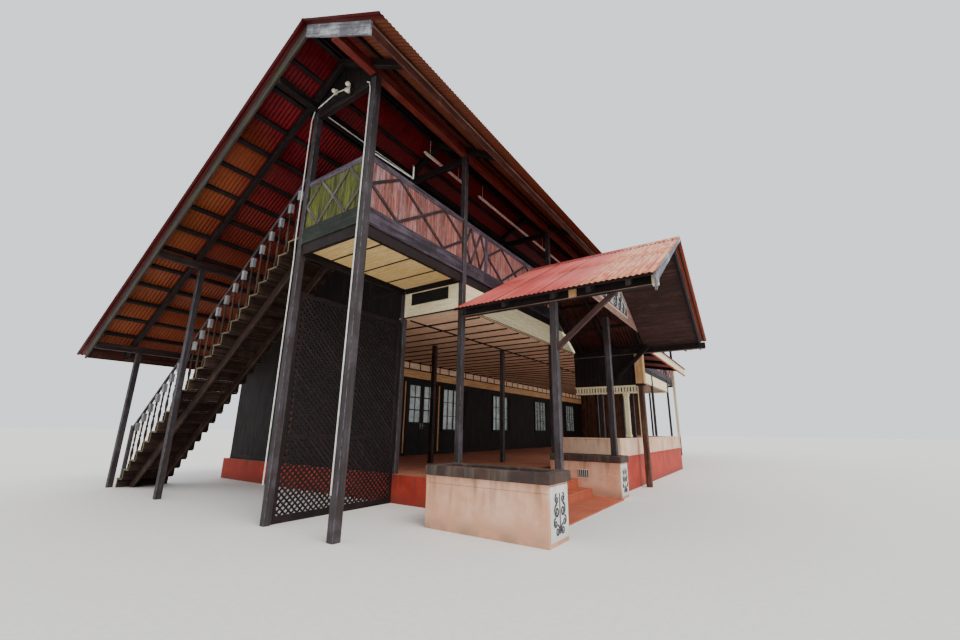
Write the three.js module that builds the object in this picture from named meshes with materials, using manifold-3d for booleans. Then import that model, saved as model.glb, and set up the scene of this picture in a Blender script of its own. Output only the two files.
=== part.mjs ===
// Two-storey timber house under one long gable roof, with a gabled entrance porch.
// Millimetres. +X runs along the front, +Y goes from the front to the rear, +Z is up.
// Sizes and places are measured from the foot of the front left corner post, at its outer corner.
// The last lines move the whole house so that the origin lies under its middle, on the ground.
import * as THREE from 'three';
import { mergeVertices } from 'three/addons/utils/BufferGeometryUtils.js';
import Module from 'manifold-3d';

const wasm = await Module();
wasm.setup();

// Plan of the house
const CORNER_BAY = 2830;
const BAY = 4500;
const MIDDLE_BAYS = 5;
const LENGTH = 2 * CORNER_BAY + MIDDLE_BAYS * BAY;
const GALLERY = 1810;
const HALL_Y = 5900;
const DEPTH = 8900;
const GAP = 0.3;

// Levels
const GROUND_FLOOR = 570;
const HALL_CEILING = 3980;
const BEAM_LOW = 4570;
const DECK_LOW = 4690;
const FASCIA_LOW = 4780;
const UPPER_FLOOR = 5060;
const RAIL_TOP = 6060;
const PLATE_LOW = 7700;
const MIDDLE_PLATE_LOW = 5180;
const REAR_PLATE_LOW = 3380;
const PLATE_DEPTH = 160;
const TIE_DEPTH = 160;
const TIE_INSET = 10;

// Timber sections
const CORNER_POST = 140;
const POST = 120;
const END_INSET = 10;
const BOARD = 22;
const LAP = 2;
const WALL = 60;
const GLASS = 4;
const REAR_WALL_Y = DEPTH - 40;
const VERANDA_POST_X = 5570;
const VERANDA_POST_Y = 3070;

// Entrance
const DOOR_LEFT = 7450;
const DOOR_RIGHT = 9050;
const DOOR_TOP = 3235;
const LEAF_THICK = 45;
const LEAF_CLEAR = 5;
const PIN_SIDES = 12;

// Main roof, whose heights are those of the underside of the sheets
const SLOPE = Math.tan(THREE.MathUtils.degToRad(31.2));
const RIDGE_Y = 905;
const RIDGE_Z = 8512;
const FRONT_EDGE = -1200;
const REAR_EDGE = 9600;
const FRONT_FASCIA = -880;
const REAR_FASCIA = 9300;
const VERGE = 1000;
const BARGE = 890;
const BARGE_THICK = 40;
const BARGE_DROP = 3;
const GABLE_DROP = 75;
const GABLE_LAP = 50;
const GABLE_BOARD = 19.7;
const SHEET = 22;
const PURLIN = 50;
const RAFTER = 120;
const PURLIN_STEP = 1110;
const END_RAFTER = 70;

// Porch
const PORCH_RIDGE_X = 5945;
const PORCH_RIDGE_Z = 5880;
const PORCH_EAVE_Z = 3870;
const PORCH_LEFT = PORCH_RIDGE_X - 3500;
const PORCH_RIGHT = PORCH_RIDGE_X + 3255;
const PORCH_SLOPE = (PORCH_RIDGE_Z - PORCH_EAVE_Z) / (PORCH_RIDGE_X - PORCH_LEFT);
const PORCH_FRONT = -3900;
const PORCH_POST_LEFT = 2830;
const PORCH_POST_RIGHT = 9060;
const PORCH_POST_Y = -2040;
const PORCH_PLATE_LOW = 3790;
const PORCH_PLATE_TOP = 3960;
const TYMPANUM_Y = -2240;
const TYMPANUM_LOW = 4330;
const PLANTER_LEFT = 1500;
const PLANTER_RIGHT = 6270;
const PLANTER_LEFT_WIDTH = 655;
const PLANTER_RIGHT_WIDTH = 580;
const LANDING = 25;

// Masonry
const BASE_SIDE = 70;
const BASE_OUT = 60;
const PARAPET_TOP = 1330;
const PLANTER_TOP = 940;
const SOIL_DEPTH = 260;

const group = new THREE.Group();

// Solid helpers
function solid(geometry) {
  const bare = geometry.clone();
  bare.deleteAttribute('normal');
  bare.deleteAttribute('uv');
  const merged = mergeVertices(bare.index ? bare.toNonIndexed() : bare);
  return new wasm.Manifold(new wasm.Mesh({
    numProp: 3,
    vertProperties: new Float32Array(merged.attributes.position.array),
    triVerts: new Uint32Array(merged.index.array),
  }));
}

function box(x0, y0, z0, x1, y1, z1) {
  const geometry = new THREE.BoxGeometry(x1 - x0, y1 - y0, z1 - z0);
  geometry.translate((x0 + x1) / 2, (y0 + y1) / 2, (z0 + z1) / 2);
  return solid(geometry);
}

function extrude(points, depth, xAxis, yAxis, zAxis, start, holes = []) {
  const shape = new THREE.Shape(points.map(([a, b]) => new THREE.Vector2(a, b)));
  for (const hole of holes) {
    shape.holes.push(new THREE.Path(hole.map(([a, b]) => new THREE.Vector2(a, b))));
  }
  const geometry = new THREE.ExtrudeGeometry(shape, { depth, bevelEnabled: false });
  const turn = new THREE.Matrix4().makeBasis(xAxis, yAxis, zAxis);
  geometry.applyMatrix4(turn);
  geometry.translate(start.x, start.y, start.z);
  return solid(geometry);
}

const X = new THREE.Vector3(1, 0, 0);
const Y = new THREE.Vector3(0, 1, 0);
const Z = new THREE.Vector3(0, 0, 1);

// An outline in Y and Z, drawn out from x0 to x1
function sideways(points, x0, x1) {
  return extrude(points, x1 - x0, Y, Z, X, new THREE.Vector3(x0, 0, 0));
}

// An outline in X and Z, drawn out from y0 to y1
function frontal(points, y0, y1, holes) {
  return extrude(points, y1 - y0, X, Z, Y.clone().negate(), new THREE.Vector3(0, y1, 0), holes);
}

function join(pieces) {
  return pieces.reduce((whole, piece) => whole.add(piece));
}

function cut(piece, tools) {
  return tools.reduce((rest, tool) => rest.subtract(tool), piece);
}

function add(name, shape, color, roughness = 0.75, metalness = 0) {
  const mesh = shape.getMesh();
  const geometry = new THREE.BufferGeometry();
  const position = new Float32Array(mesh.numVert * 3);
  for (let i = 0; i < mesh.numVert; i++) {
    for (let k = 0; k < 3; k++) {
      position[3 * i + k] = mesh.vertProperties[i * mesh.numProp + k];
    }
  }
  geometry.setAttribute('position', new THREE.BufferAttribute(position, 3));
  geometry.setIndex(new THREE.BufferAttribute(new Uint32Array(mesh.triVerts), 1));
  const material = new THREE.MeshStandardMaterial({ color, roughness, metalness });
  const node = new THREE.Mesh(geometry, material);
  node.name = name;
  group.add(node);
}

// Colours
const DARK_TIMBER = 0x35221d;
const GREY_TIMBER = 0x6b6460;
const PINK_BOARD = 0xc7b0a6;
const GREEN_BOARD = 0x8a8448;
const TAN_PANEL = 0xd2b47a;
const PEACH = 0xd9ab88;
const CREAM = 0xe6dccb;
const RED_PAINT = 0xa23a2c;
const RED_SHEET = 0x9c3a33;
const TERRACOTTA = 0xb4603f;
const DARK_RED_SHEET = 0x7a2722;
const GLASS_GREY = 0x8fa3a6;

// Places where the cross frames stand
const postLines = [CORNER_POST / 2];
for (let k = 0; k <= MIDDLE_BAYS; k++) {
  postLines.push(CORNER_BAY + k * BAY);
}
postLines.push(LENGTH - CORNER_POST / 2);
const BODY_LEFT = CORNER_BAY + POST / 2;
const BODY_RIGHT = LENGTH - BODY_LEFT;
const BODY_IN_LEFT = BODY_LEFT + WALL;
const BODY_IN_RIGHT = BODY_RIGHT - WALL;

function roofZ(y) {
  return RIDGE_Z - SLOPE * Math.abs(y - RIDGE_Y);
}

// Masonry base
function masonry() {
  add('ground_floor_base', box(CORNER_BAY - BASE_SIDE, -BASE_OUT, 0, LENGTH - CORNER_BAY + BASE_SIDE,
    DEPTH + BASE_OUT, GROUND_FLOOR), RED_PAINT, 0.8);

  // Raised terrace to the right of the porch: a red dado with a cream parapet over it
  const left = 7300;
  const right = 16300;
  const front = -1800;
  const thick = 120;
  const outer = box(left, front, 0, right, -BASE_OUT - GAP, PARAPET_TOP);
  const inner = box(left + thick, front + thick, GROUND_FLOOR, right - thick, 100, PARAPET_TOP + 100);
  add('terrace_wall', cut(outer, [inner]), PEACH, 0.85);

  // Two steps and a landing between the planters
  const rise = GROUND_FLOOR / 3;
  const going = 350;
  const first = -660;
  const landingFront = -2100;
  const profile = [[landingFront, 0], [-BASE_OUT - GAP, 0], [-BASE_OUT - GAP, GROUND_FLOOR], [first, GROUND_FLOOR],
    [first, 2 * rise], [first - going, 2 * rise], [first - going, rise], [first - 2 * going, rise],
    [first - 2 * going, LANDING], [landingFront, LANDING]];
  const stepsLeft = PLANTER_LEFT + PLANTER_LEFT_WIDTH + GAP;
  add('porch_steps', sideways(profile, stepsLeft, PLANTER_RIGHT), TERRACOTTA, 0.7);
}

// Trough with a projecting cap, open at the top
function planter(name, x0, x1, y0, y1) {
  const top = PLANTER_TOP;
  const cap = 150;
  const out = 45;
  const rim = 110;
  const body = box(x0, y0, 0, x1, y1, top - cap + 1);
  const lid = box(x0 - out, y0 - out, top - cap, x1 + out, y1, top);
  const soil = box(x0 + rim, y0 + rim, top - SOIL_DEPTH, x1 - rim, y1 - rim, top + 50);
  add(name, cut(body.add(lid), [soil]), PEACH, 0.85);
}

// Fascia, floor beam, boards and hand rail of a balustrade, each by its near and far depth and its levels
const BALUSTRADE = [
  [20, 90, FASCIA_LOW, UPPER_FLOOR],
  [40, 118, BEAM_LOW, FASCIA_LOW + LAP],
  [48, 48 + BOARD, UPPER_FLOOR - LAP, RAIL_TOP - 70],
  [15, 105, RAIL_TOP - 75, RAIL_TOP],
];

// A balustrade along X between two posts of the front
function frontBalustrade(x0, x1) {
  return join(BALUSTRADE.map(([near, far, low, high]) => box(x0, near, low, x1, far, high)));
}

// The same along Y on the end of the house
function endBalustrade(y0, y1, x, side) {
  return join(BALUSTRADE.map(([near, far, low, high]) => {
    const [x0, x1] = [x + side * near, x + side * far].sort((a, b) => a - b);
    return box(x0, y0, low, x1, y1, high);
  }));
}

// Two posts at the end of the gallery with the balustrade and tie between them, and boards in the gable over them
function cornerFrame(name, x, side, more = []) {
  const across = (near, far) => [x + side * near, x + side * far].sort((a, b) => a - b);
  const low = PLATE_LOW - GABLE_LAP;
  const gable = [[0, low], [GALLERY, low], [GALLERY, roofZ(GALLERY) - GABLE_DROP], [RIDGE_Y, RIDGE_Z - GABLE_DROP],
    [0, roofZ(0) - GABLE_DROP]];
  const beams = [plateBox(plates[0], GAP), plateBox(innerPlate, GAP)];
  const [a0, a1] = across(0, CORNER_POST);
  const [b0, b1] = across(END_INSET, END_INSET + POST);
  const [t0, t1] = across(2 * END_INSET, POST);
  add(name, join([
    box(a0, 0, 0, a1, CORNER_POST, PLATE_LOW - GAP),
    box(b0, GALLERY - POST, 0, b1, GALLERY, PLATE_LOW - GAP),
    box(t0, CORNER_POST - LAP, PLATE_LOW - TIE_DEPTH, t1, GALLERY - POST + LAP, PLATE_LOW - GAP),
    endBalustrade(CORNER_POST - LAP, GALLERY - POST + LAP, x, side),
    cut(sideways(gable, ...across(0, GABLE_BOARD)), beams),
    ...more,
  ]), DARK_TIMBER);
}

// A bay of the front: its balustrade, and at its right end the posts that carry the gallery
function frontBays() {
  const last = postLines.length - 2;
  for (let k = 1; k <= last; k++) {
    const x0 = postLines[k - 1] + (k === 1 ? CORNER_POST / 2 : POST / 2) + GAP;
    const left = postLines[k] - POST / 2;
    const right = postLines[k] + POST / 2;
    const pieces = [
      frontBalustrade(x0, left + LAP),
      box(left, 0, GROUND_FLOOR + GAP, right, POST, PLATE_LOW - GAP),
      box(left, GALLERY - POST, GROUND_FLOOR + GAP, right, GALLERY, DECK_LOW - GAP),
      box(left + TIE_INSET, POST - LAP, BEAM_LOW, right - TIE_INSET, GALLERY - POST + LAP, DECK_LOW - GAP),
      box(left + TIE_INSET, POST - LAP, PLATE_LOW - TIE_DEPTH, right - TIE_INSET, GALLERY - POST - GAP,
        PLATE_LOW - GAP),
    ];
    if (k === 1) {
      pieces.push(rearBeam(END_INSET + POST + GAP, left + LAP));
    }
    if (k === last) {
      pieces.push(rearBeam(right - LAP, LENGTH - END_INSET - POST - GAP));
    }
    add(`front_bay_${k}`, join(pieces), PINK_BOARD);
  }
}

// Beam along the rear of a corner bay
function rearBeam(x0, x1) {
  return box(x0, GALLERY - 100, BEAM_LOW, x1, GALLERY - 20, DECK_LOW - GAP);
}

// Floors and ceilings
function floors() {
  const edge = CORNER_POST + GAP;
  const back = HALL_Y - WALL / 2 - GAP;
  add('upper_floor', join([
    box(edge, edge, DECK_LOW, LENGTH - edge, GALLERY, UPPER_FLOOR),
    box(BODY_IN_LEFT + GAP, GALLERY - 2, UPPER_FLOOR - 100, BODY_IN_RIGHT - GAP, back, UPPER_FLOOR),
  ]), TAN_PANEL);

  // Ceiling of the veranda, below the gallery too, with header panels up to the beams at its front and ends
  const endPanel = CORNER_BAY - 45;
  const panel = 25;
  const panelTop = BEAM_LOW - GAP;
  const posts = postLines.slice(1, -1).flatMap((x) => [
    box(x - POST / 2 - GAP, -GAP, 0, x + POST / 2 + GAP, POST + GAP, UPPER_FLOOR),
    box(x - POST / 2 - GAP, GALLERY - POST - GAP, 0, x + POST / 2 + GAP, GALLERY + GAP, UPPER_FLOOR),
  ]);
  add('veranda_ceiling', cut(join([
    box(BODY_IN_LEFT + GAP, GALLERY + 30, HALL_CEILING, BODY_IN_RIGHT - GAP, back, HALL_CEILING + 30),
    box(endPanel, 20, HALL_CEILING, LENGTH - endPanel, GALLERY + 40, HALL_CEILING + 30),
    box(endPanel, 50, HALL_CEILING, LENGTH - endPanel, 50 + panel, panelTop),
    box(endPanel, 52, HALL_CEILING, endPanel + panel, GALLERY - 60, panelTop),
    box(LENGTH - endPanel - panel, 52, HALL_CEILING, LENGTH - endPanel, GALLERY - 60, panelTop),
  ]), posts), PEACH);
}

// Beams along the house that carry the rafters
const plates = [
  { name: 'front_eave_plate', y0: 0, y1: 140, low: PLATE_LOW },
  { name: 'middle_plate', y0: HALL_Y - 60, y1: HALL_Y + 60, low: MIDDLE_PLATE_LOW },
  { name: 'rear_plate', y0: DEPTH - 140, y1: DEPTH, low: REAR_PLATE_LOW },
];

const innerPlate = { y0: GALLERY - 140, y1: GALLERY, low: PLATE_LOW };

function plateBox({ y0, y1, low }, clear = 0) {
  return box(-BARGE + BARGE_THICK + GAP - clear, y0 - clear, low - clear,
    LENGTH + BARGE - BARGE_THICK - GAP + clear, y1 + clear, low + PLATE_DEPTH + clear);
}

function plateBeams() {
  for (const plate of plates) {
    add(plate.name, plateBox(plate), DARK_TIMBER);
  }
}

// Walls
function wallWithOpenings(x0, y0, z0, x1, y1, z1, openings) {
  const cuts = openings.map(([a, b, c, d]) => box(a, y0 - 50, b, c, y1 + 50, d));
  return cut(box(x0, y0, z0, x1, y1, z1), cuts);
}

// Guards along the rear of the corner bays, with a way to the stair on the left
function guards() {
  const spans = [[STAIR_RIGHT + 40, CORNER_BAY - POST / 2 + 10],
    [LENGTH - CORNER_BAY + POST / 2 - 10, LENGTH - END_INSET - POST - GAP]];
  return spans.flatMap(([x0, x1]) => [
    box(x0, GALLERY - 75, UPPER_FLOOR + 60, x1, GALLERY - 75 + BOARD, RAIL_TOP - 70),
    box(x0, GALLERY - 100, RAIL_TOP - 75, x1, GALLERY - 20, RAIL_TOP),
    box(x0, GALLERY - 100, UPPER_FLOOR + GAP, x1, GALLERY - 20, UPPER_FLOOR + 62),
  ]);
}

// Windows of the middle bays from one bay to another, as left, low, right and high edges
function bayWindows(first, last, width, low, high) {
  const windows = [];
  for (let k = first; k <= last; k++) {
    const centre = postLines[k] + BAY / 2;
    windows.push([centre - width / 2, low, centre + width / 2, high]);
  }
  return windows;
}

const UPPER_WINDOWS = bayWindows(1, MIDDLE_BAYS, 1500, UPPER_FLOOR + 900, UPPER_FLOOR + 2150);
const REAR_WINDOWS = bayWindows(1, MIDDLE_BAYS, 1200, GROUND_FLOOR + 950, GROUND_FLOOR + 2150);
const HALL_LEFT_WINDOWS = bayWindows(1, 1, 1500, GROUND_FLOOR + 900, DOOR_TOP - 100);
const HALL_RIGHT_WINDOWS = [[9500, GROUND_FLOOR + 900, 11000, DOOR_TOP - 100],
  ...bayWindows(3, MIDDLE_BAYS, 1500, GROUND_FLOOR + 900, DOOR_TOP - 100)];

function walls() {
  // Upper wall behind the gallery, with its posts, the beam on them and the guards of the corner bays
  const upper = wallWithOpenings(CORNER_BAY - POST / 2, GALLERY, UPPER_FLOOR + GAP,
    LENGTH - CORNER_BAY + POST / 2, GALLERY + WALL, PLATE_LOW + 20, UPPER_WINDOWS);
  const posts = postLines.slice(1, -1).map((x) => box(x - POST / 2, GALLERY - POST, UPPER_FLOOR + GAP,
    x + POST / 2, GALLERY + 20, PLATE_LOW + 10));
  add('upper_front_wall', join([upper, ...posts, plateBox(innerPlate), ...guards()]), DARK_TIMBER);

  // End walls, whose tops follow the roof below the purlins
  const under = PURLIN / Math.cos(Math.atan(SLOPE)) + 8;
  const front = GALLERY + WALL + GAP;
  const outline = [[front, GROUND_FLOOR + GAP], [DEPTH - 140 - GAP, GROUND_FLOOR + GAP],
    [DEPTH - 140 - GAP, roofZ(DEPTH - 140) - under], [front, roofZ(front) - under]];
  const notch = plateBox(plates[1], GAP);
  add('end_wall_left', cut(sideways(outline, BODY_LEFT, BODY_IN_LEFT), [notch]), DARK_TIMBER);
  add('end_wall_right', cut(sideways(outline, BODY_IN_RIGHT, BODY_RIGHT), [notch]), DARK_TIMBER);

  // Rear wall under the low eave
  const rear = wallWithOpenings(BODY_LEFT, REAR_WALL_Y - WALL, GROUND_FLOOR + GAP, BODY_RIGHT, REAR_WALL_Y,
    REAR_PLATE_LOW - GAP, REAR_WINDOWS);
  add('rear_wall', rear, DARK_TIMBER);

  // Wall between the veranda and the ground-floor rooms, parted at the entrance
  const y0 = HALL_Y - WALL / 2;
  const y1 = HALL_Y + WALL / 2;
  const top = plates[1].low - GAP;
  const low = GROUND_FLOOR + GAP;
  const hallWall = (x0, x1, windows) => wallWithOpenings(x0, y0, low, x1, y1, top, windows);
  add('hall_wall_left', hallWall(BODY_IN_LEFT + GAP, DOOR_LEFT, HALL_LEFT_WINDOWS), DARK_TIMBER);
  add('hall_wall_right', hallWall(DOOR_RIGHT, BODY_IN_RIGHT - GAP, HALL_RIGHT_WINDOWS), DARK_TIMBER);
  add('hall_wall_over_door', box(DOOR_LEFT + GAP, y0, DOOR_TOP, DOOR_RIGHT - GAP, y1, top), DARK_TIMBER);
  add('veranda_post', box(VERANDA_POST_X, VERANDA_POST_Y, low, VERANDA_POST_X + POST, VERANDA_POST_Y + POST,
    HALL_CEILING - GAP), DARK_TIMBER);
}

// One sheet of glass that closes all the windows of a wall from inside
function glassSheet(name, windows, y0) {
  const lap = 30;
  const [left, low] = windows[0];
  const [, , right, high] = windows[windows.length - 1];
  add(name, box(left - lap, y0, low - lap, right + lap, y0 + GLASS, high + lap), GLASS_GREY, 0.1);
}

function glass() {
  glassSheet('upper_window_glass', UPPER_WINDOWS, GALLERY + WALL + GAP);
  glassSheet('hall_window_glass_left', HALL_LEFT_WINDOWS, HALL_Y + WALL / 2 + GAP);
  glassSheet('hall_window_glass_right', HALL_RIGHT_WINDOWS, HALL_Y + WALL / 2 + GAP);
  glassSheet('rear_window_glass', REAR_WINDOWS, REAR_WALL_Y - WALL - GAP - GLASS);
}

// Upright pin of a hinge, which turns in place 0.3 mm from the door frame
function hingePin(x, y, z0, z1) {
  const radius = (LEAF_CLEAR - GAP) / Math.cos(Math.PI / PIN_SIDES);
  const geometry = new THREE.CylinderGeometry(radius, radius, z1 - z0, PIN_SIDES);
  geometry.rotateY(Math.PI / PIN_SIDES);
  geometry.rotateX(Math.PI / 2);
  geometry.translate(x, y, (z0 + z1) / 2);
  return solid(geometry);
}

// Glazed leaf of the entrance, which swings into the rooms about pins at hingeX
function doorLeaf(name, x0, x1, hingeX) {
  const y1 = HALL_Y + 25;
  const y0 = y1 - LEAF_THICK;
  const low = GROUND_FLOOR + 10;
  const high = DOOR_TOP - LEAF_CLEAR;
  const stile = 110;
  const bar = 20;
  const rows = 3;
  const glassLow = low + 1150;
  const middle = (x0 + x1) / 2;
  const height = (high - stile - glassLow) / rows;
  const web = 8;
  const recess = (left, bottom, right, top) => [
    box(left, y0 - 10, bottom, right, y0 + (LEAF_THICK - web) / 2, top),
    box(left, y1 - (LEAF_THICK - web) / 2, bottom, right, y1 + 10, top),
  ];
  const panes = recess(x0 + stile, low + 180, x1 - stile, glassLow - 100);
  for (let row = 0; row < rows; row++) {
    const bottom = glassLow + row * height + bar;
    const top = glassLow + (row + 1) * height - bar;
    panes.push(...recess(x0 + stile, bottom, middle - bar, top));
    panes.push(...recess(middle + bar, bottom, x1 - stile, top));
  }
  const pins = [low + 150, (low + high) / 2 - 50, high - 250].map((z) => hingePin(hingeX, y1, z, z + 100));
  add(name, join([cut(box(x0, y0, low, x1, y1, high), panes), ...pins]), DARK_TIMBER);
}

function doors() {
  const middle = (DOOR_LEFT + DOOR_RIGHT) / 2;
  const left = DOOR_LEFT + LEAF_CLEAR;
  const right = DOOR_RIGHT - LEAF_CLEAR;
  doorLeaf('entrance_door_left', left, middle - LEAF_CLEAR, left);
  doorLeaf('entrance_door_right', middle + LEAF_CLEAR, right, right);
}

// Points of a slope at a depth below the sheets, from y0 to y1
function slopeBand(y0, y1, upper, lower) {
  return [[y0, roofZ(y0) - upper], [y1, roofZ(y1) - upper], [y1, roofZ(y1) - lower], [y0, roofZ(y0) - lower]];
}

function mainRoof() {
  const along = 1 / Math.cos(Math.atan(SLOPE));
  const inLeft = -BARGE + BARGE_THICK - LAP;
  const inRight = LENGTH + BARGE - BARGE_THICK + LAP;

  // Sheets and the cap over the ridge
  const lift = SHEET * along;
  const sheets = {
    roof_sheets_front: [FRONT_EDGE, RIDGE_Y - GAP],
    roof_sheets_rear: [RIDGE_Y + GAP, REAR_EDGE],
  };
  for (const [name, [y0, y1]] of Object.entries(sheets)) {
    add(name, sideways(slopeBand(y0, y1, -lift, 0), -VERGE, LENGTH + VERGE), RED_SHEET, 0.6, 0.2);
  }
  const wing = 230;
  const capLow = lift + GAP;
  const capHigh = capLow + 12;
  add('ridge_cap', sideways([
    [RIDGE_Y - wing, roofZ(RIDGE_Y - wing) + capLow], [RIDGE_Y, RIDGE_Z + capLow],
    [RIDGE_Y + wing, roofZ(RIDGE_Y + wing) + capLow], [RIDGE_Y + wing, roofZ(RIDGE_Y + wing) + capHigh],
    [RIDGE_Y, RIDGE_Z + capHigh], [RIDGE_Y - wing, roofZ(RIDGE_Y - wing) + capHigh]],
  -VERGE, LENGTH + VERGE), GREY_TIMBER, 0.6, 0.3);

  // Rafters on the post lines with purlins across them, a fascia at the eave and barge boards at the verges
  const notches = [...plates, innerPlate].map(({ y0, y1, low }) => box(-CORNER_POST, y0 - GAP, low - GAP,
    LENGTH + CORNER_POST, y1 + GAP, low + PLATE_DEPTH + GAP));
  const rafterTop = PURLIN * along - 2;
  const rafterLow = (PURLIN + RAFTER) * along;
  const bargeDepth = 280;
  const rafterLines = [-END_RAFTER, ...postLines.slice(1, -1), LENGTH + END_RAFTER];
  const eaveThick = 30;
  const slopes = {
    roof_frame_front: [FRONT_FASCIA + 20, RIDGE_Y - GAP, FRONT_FASCIA, -PURLIN_STEP / 2],
    roof_frame_rear: [RIDGE_Y + GAP, REAR_FASCIA - eaveThick - GAP, REAR_FASCIA - eaveThick, PURLIN_STEP],
  };
  for (const [name, [y0, y1, fascia, step]] of Object.entries(slopes)) {
    const pieces = rafterLines.map((x) => sideways(slopeBand(y0, y1, rafterTop, rafterLow), x - 50, x + 50));
    const count = Math.floor(Math.abs((step < 0 ? y0 : y1) - RIDGE_Y) / Math.abs(step) - 0.1);
    for (let k = 0; k <= count; k++) {
      const y = RIDGE_Y + (k === 0 ? Math.sign(step) * 60 : k * step);
      pieces.push(sideways(slopeBand(y - 30, y + 30, GAP, PURLIN * along), inLeft, inRight));
    }
    const top = Math.min(roofZ(fascia), roofZ(fascia + eaveThick)) - GAP;
    if (step < 0) {
      pieces.push(box(inLeft, fascia, top - 260, inRight, fascia + eaveThick, top));
    } else {
      add('rear_eave_board', box(inLeft + LAP + GAP, fascia, top - 260, inRight - LAP - GAP, fascia + eaveThick, top),
        DARK_TIMBER);
    }
    for (const x of [-BARGE, LENGTH + BARGE - BARGE_THICK]) {
      const band = slopeBand(Math.min(y0, fascia), Math.max(y1, fascia + eaveThick), BARGE_DROP, bargeDepth);
      pieces.push(sideways(band, x, x + BARGE_THICK));
    }
    add(name, cut(join(pieces), notches), DARK_TIMBER);
  }
}

// Posts at the ends of the middle and rear plates
function endPosts() {
  for (const [side, x] of [['left', END_INSET], ['right', LENGTH - END_INSET - POST]]) {
    add(`rear_post_${side}`, box(x, HALL_Y - POST / 2, 0, x + POST, HALL_Y + POST / 2, MIDDLE_PLATE_LOW - GAP),
      DARK_TIMBER);
    add(`eave_post_${side}`, box(x, DEPTH - 10 - POST, 0, x + POST, DEPTH - 10, REAR_PLATE_LOW - GAP),
      DARK_TIMBER);
  }
}

// Outside stair under the long rear slope, from the rear up to the gallery
const STAIR_LEFT = 150;
const STAIR_RIGHT = 1250;
const RISERS = 22;
const TREADS = RISERS - 1;
const RISE = UPPER_FLOOR / RISERS;
const GOING = 300;
const STAIR_SLOPE = RISE / GOING;
const STAIR_TOP_Y = GALLERY + GAP;
const STAIR_HEAD_Y = 2370;
const STAIR_FOOT_Y = STAIR_HEAD_Y + TREADS * GOING;
const HAND_RAIL = 1100;
const CARRIAGE_INSET = 250;

function stair() {
  const thick = 35;
  const treadZ = (k) => (k < TREADS ? UPPER_FLOOR - (k + 1) * RISE : 0);

  // Landing, treads and risers, as one folded band
  const nose = [[STAIR_TOP_Y, UPPER_FLOOR], [STAIR_HEAD_Y, UPPER_FLOOR], [STAIR_HEAD_Y, treadZ(0)]];
  const soffit = [[STAIR_TOP_Y, UPPER_FLOOR - thick], [STAIR_HEAD_Y - thick, UPPER_FLOOR - thick],
    [STAIR_HEAD_Y - thick, treadZ(0) - thick]];
  for (let k = 1; k <= TREADS; k++) {
    const y = STAIR_HEAD_Y + k * GOING;
    nose.push([y, treadZ(k - 1)], [y, treadZ(k)]);
    soffit.push([y - thick, treadZ(k - 1) - thick], [y - thick, Math.max(treadZ(k) - thick, 0)]);
  }
  const steps = sideways([...nose, ...soffit.reverse()], STAIR_LEFT, STAIR_RIGHT);

  // Two straight carriages under them, level below the landing
  const depth = 230;
  const lap = 20;
  const topZ = (y) => treadZ(0) - 4 - STAIR_SLOPE * (y - STAIR_HEAD_Y);
  const landingLow = DECK_LOW + 10;
  const lowY = STAIR_HEAD_Y - (landingLow + depth - topZ(STAIR_HEAD_Y)) / STAIR_SLOPE;
  const carriage = (x) => sideways([[STAIR_TOP_Y, UPPER_FLOOR - lap], [STAIR_HEAD_Y - lap, UPPER_FLOOR - lap],
    [STAIR_HEAD_Y - lap, topZ(STAIR_HEAD_Y - lap)], [STAIR_HEAD_Y + topZ(STAIR_HEAD_Y) / STAIR_SLOPE, 0],
    [STAIR_HEAD_Y + (topZ(STAIR_HEAD_Y) - depth) / STAIR_SLOPE, 0], [lowY, landingLow],
    [STAIR_TOP_Y, landingLow]], x, x + 45);
  add('stair_flight', join([steps, carriage(STAIR_LEFT + CARRIAGE_INSET),
    carriage(STAIR_RIGHT - CARRIAGE_INSET - 45)]), DARK_TIMBER);

  // A baluster stands on each tread, and two on the landing, under a sloping rail
  const sides = { stair_balustrade_outer: STAIR_LEFT + 25, stair_balustrade_inner: STAIR_RIGHT - 65 };
  const landingBalusters = 2;
  for (const [name, x] of Object.entries(sides)) {
    const railZ = (y) => UPPER_FLOOR + HAND_RAIL - STAIR_SLOPE * (y - STAIR_HEAD_Y);
    const y0 = STAIR_TOP_Y + 20;
    const y1 = STAIR_FOOT_Y - 120;
    const pieces = [sideways([[y0, railZ(y0)], [y1, railZ(y1)], [y1, railZ(y1) - 75], [y0, railZ(y0) - 75]],
      x - 10, x + 50)];
    for (let k = -landingBalusters; k < TREADS; k++) {
      const y = STAIR_HEAD_Y + (k + 0.5) * GOING + (k < 0 ? 20 : 0);
      const foot = k < 0 ? UPPER_FLOOR : treadZ(k);
      pieces.push(box(x, y - 20, foot + GAP, x + 40, y + 20, railZ(y) - 40));
    }
    add(name, join(pieces), DARK_TIMBER);
  }
}

// Lattice screen between the stair foot and the body, as a board with slanting holes
function latticeScreen() {
  const x0 = 10 + POST + GAP;
  const x1 = CORNER_BAY - 70 - GAP;
  const z1 = 3900;
  const rim = 90;
  const columns = 5;
  const rows = 8;
  const stepX = (x1 - x0 - 2 * rim) / columns;
  const stepZ = (z1 - 2 * rim) / rows;
  const bar = 55;
  const holes = [];
  const rx = stepX / 2 - bar;
  const rz = stepZ / 2 - bar;
  const diamond = (i, j) => {
    const cx = x0 + rim + i * stepX;
    const cz = rim + j * stepZ;
    return [[cx - rx, cz], [cx, cz - rz], [cx + rx, cz], [cx, cz + rz]];
  };
  for (let i = 0; i < columns; i++) {
    for (let j = 0; j < rows; j++) {
      holes.push(diamond(i + 0.5, j + 0.5));
      if (i > 0 && j > 0) {
        holes.push(diamond(i, j));
      }
    }
  }
  add('lattice_screen', frontal([[x0, 0], [x1, 0], [x1, z1], [x0, z1]], GALLERY - 70, GALLERY - 40, holes),
    DARK_TIMBER);
}

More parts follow.
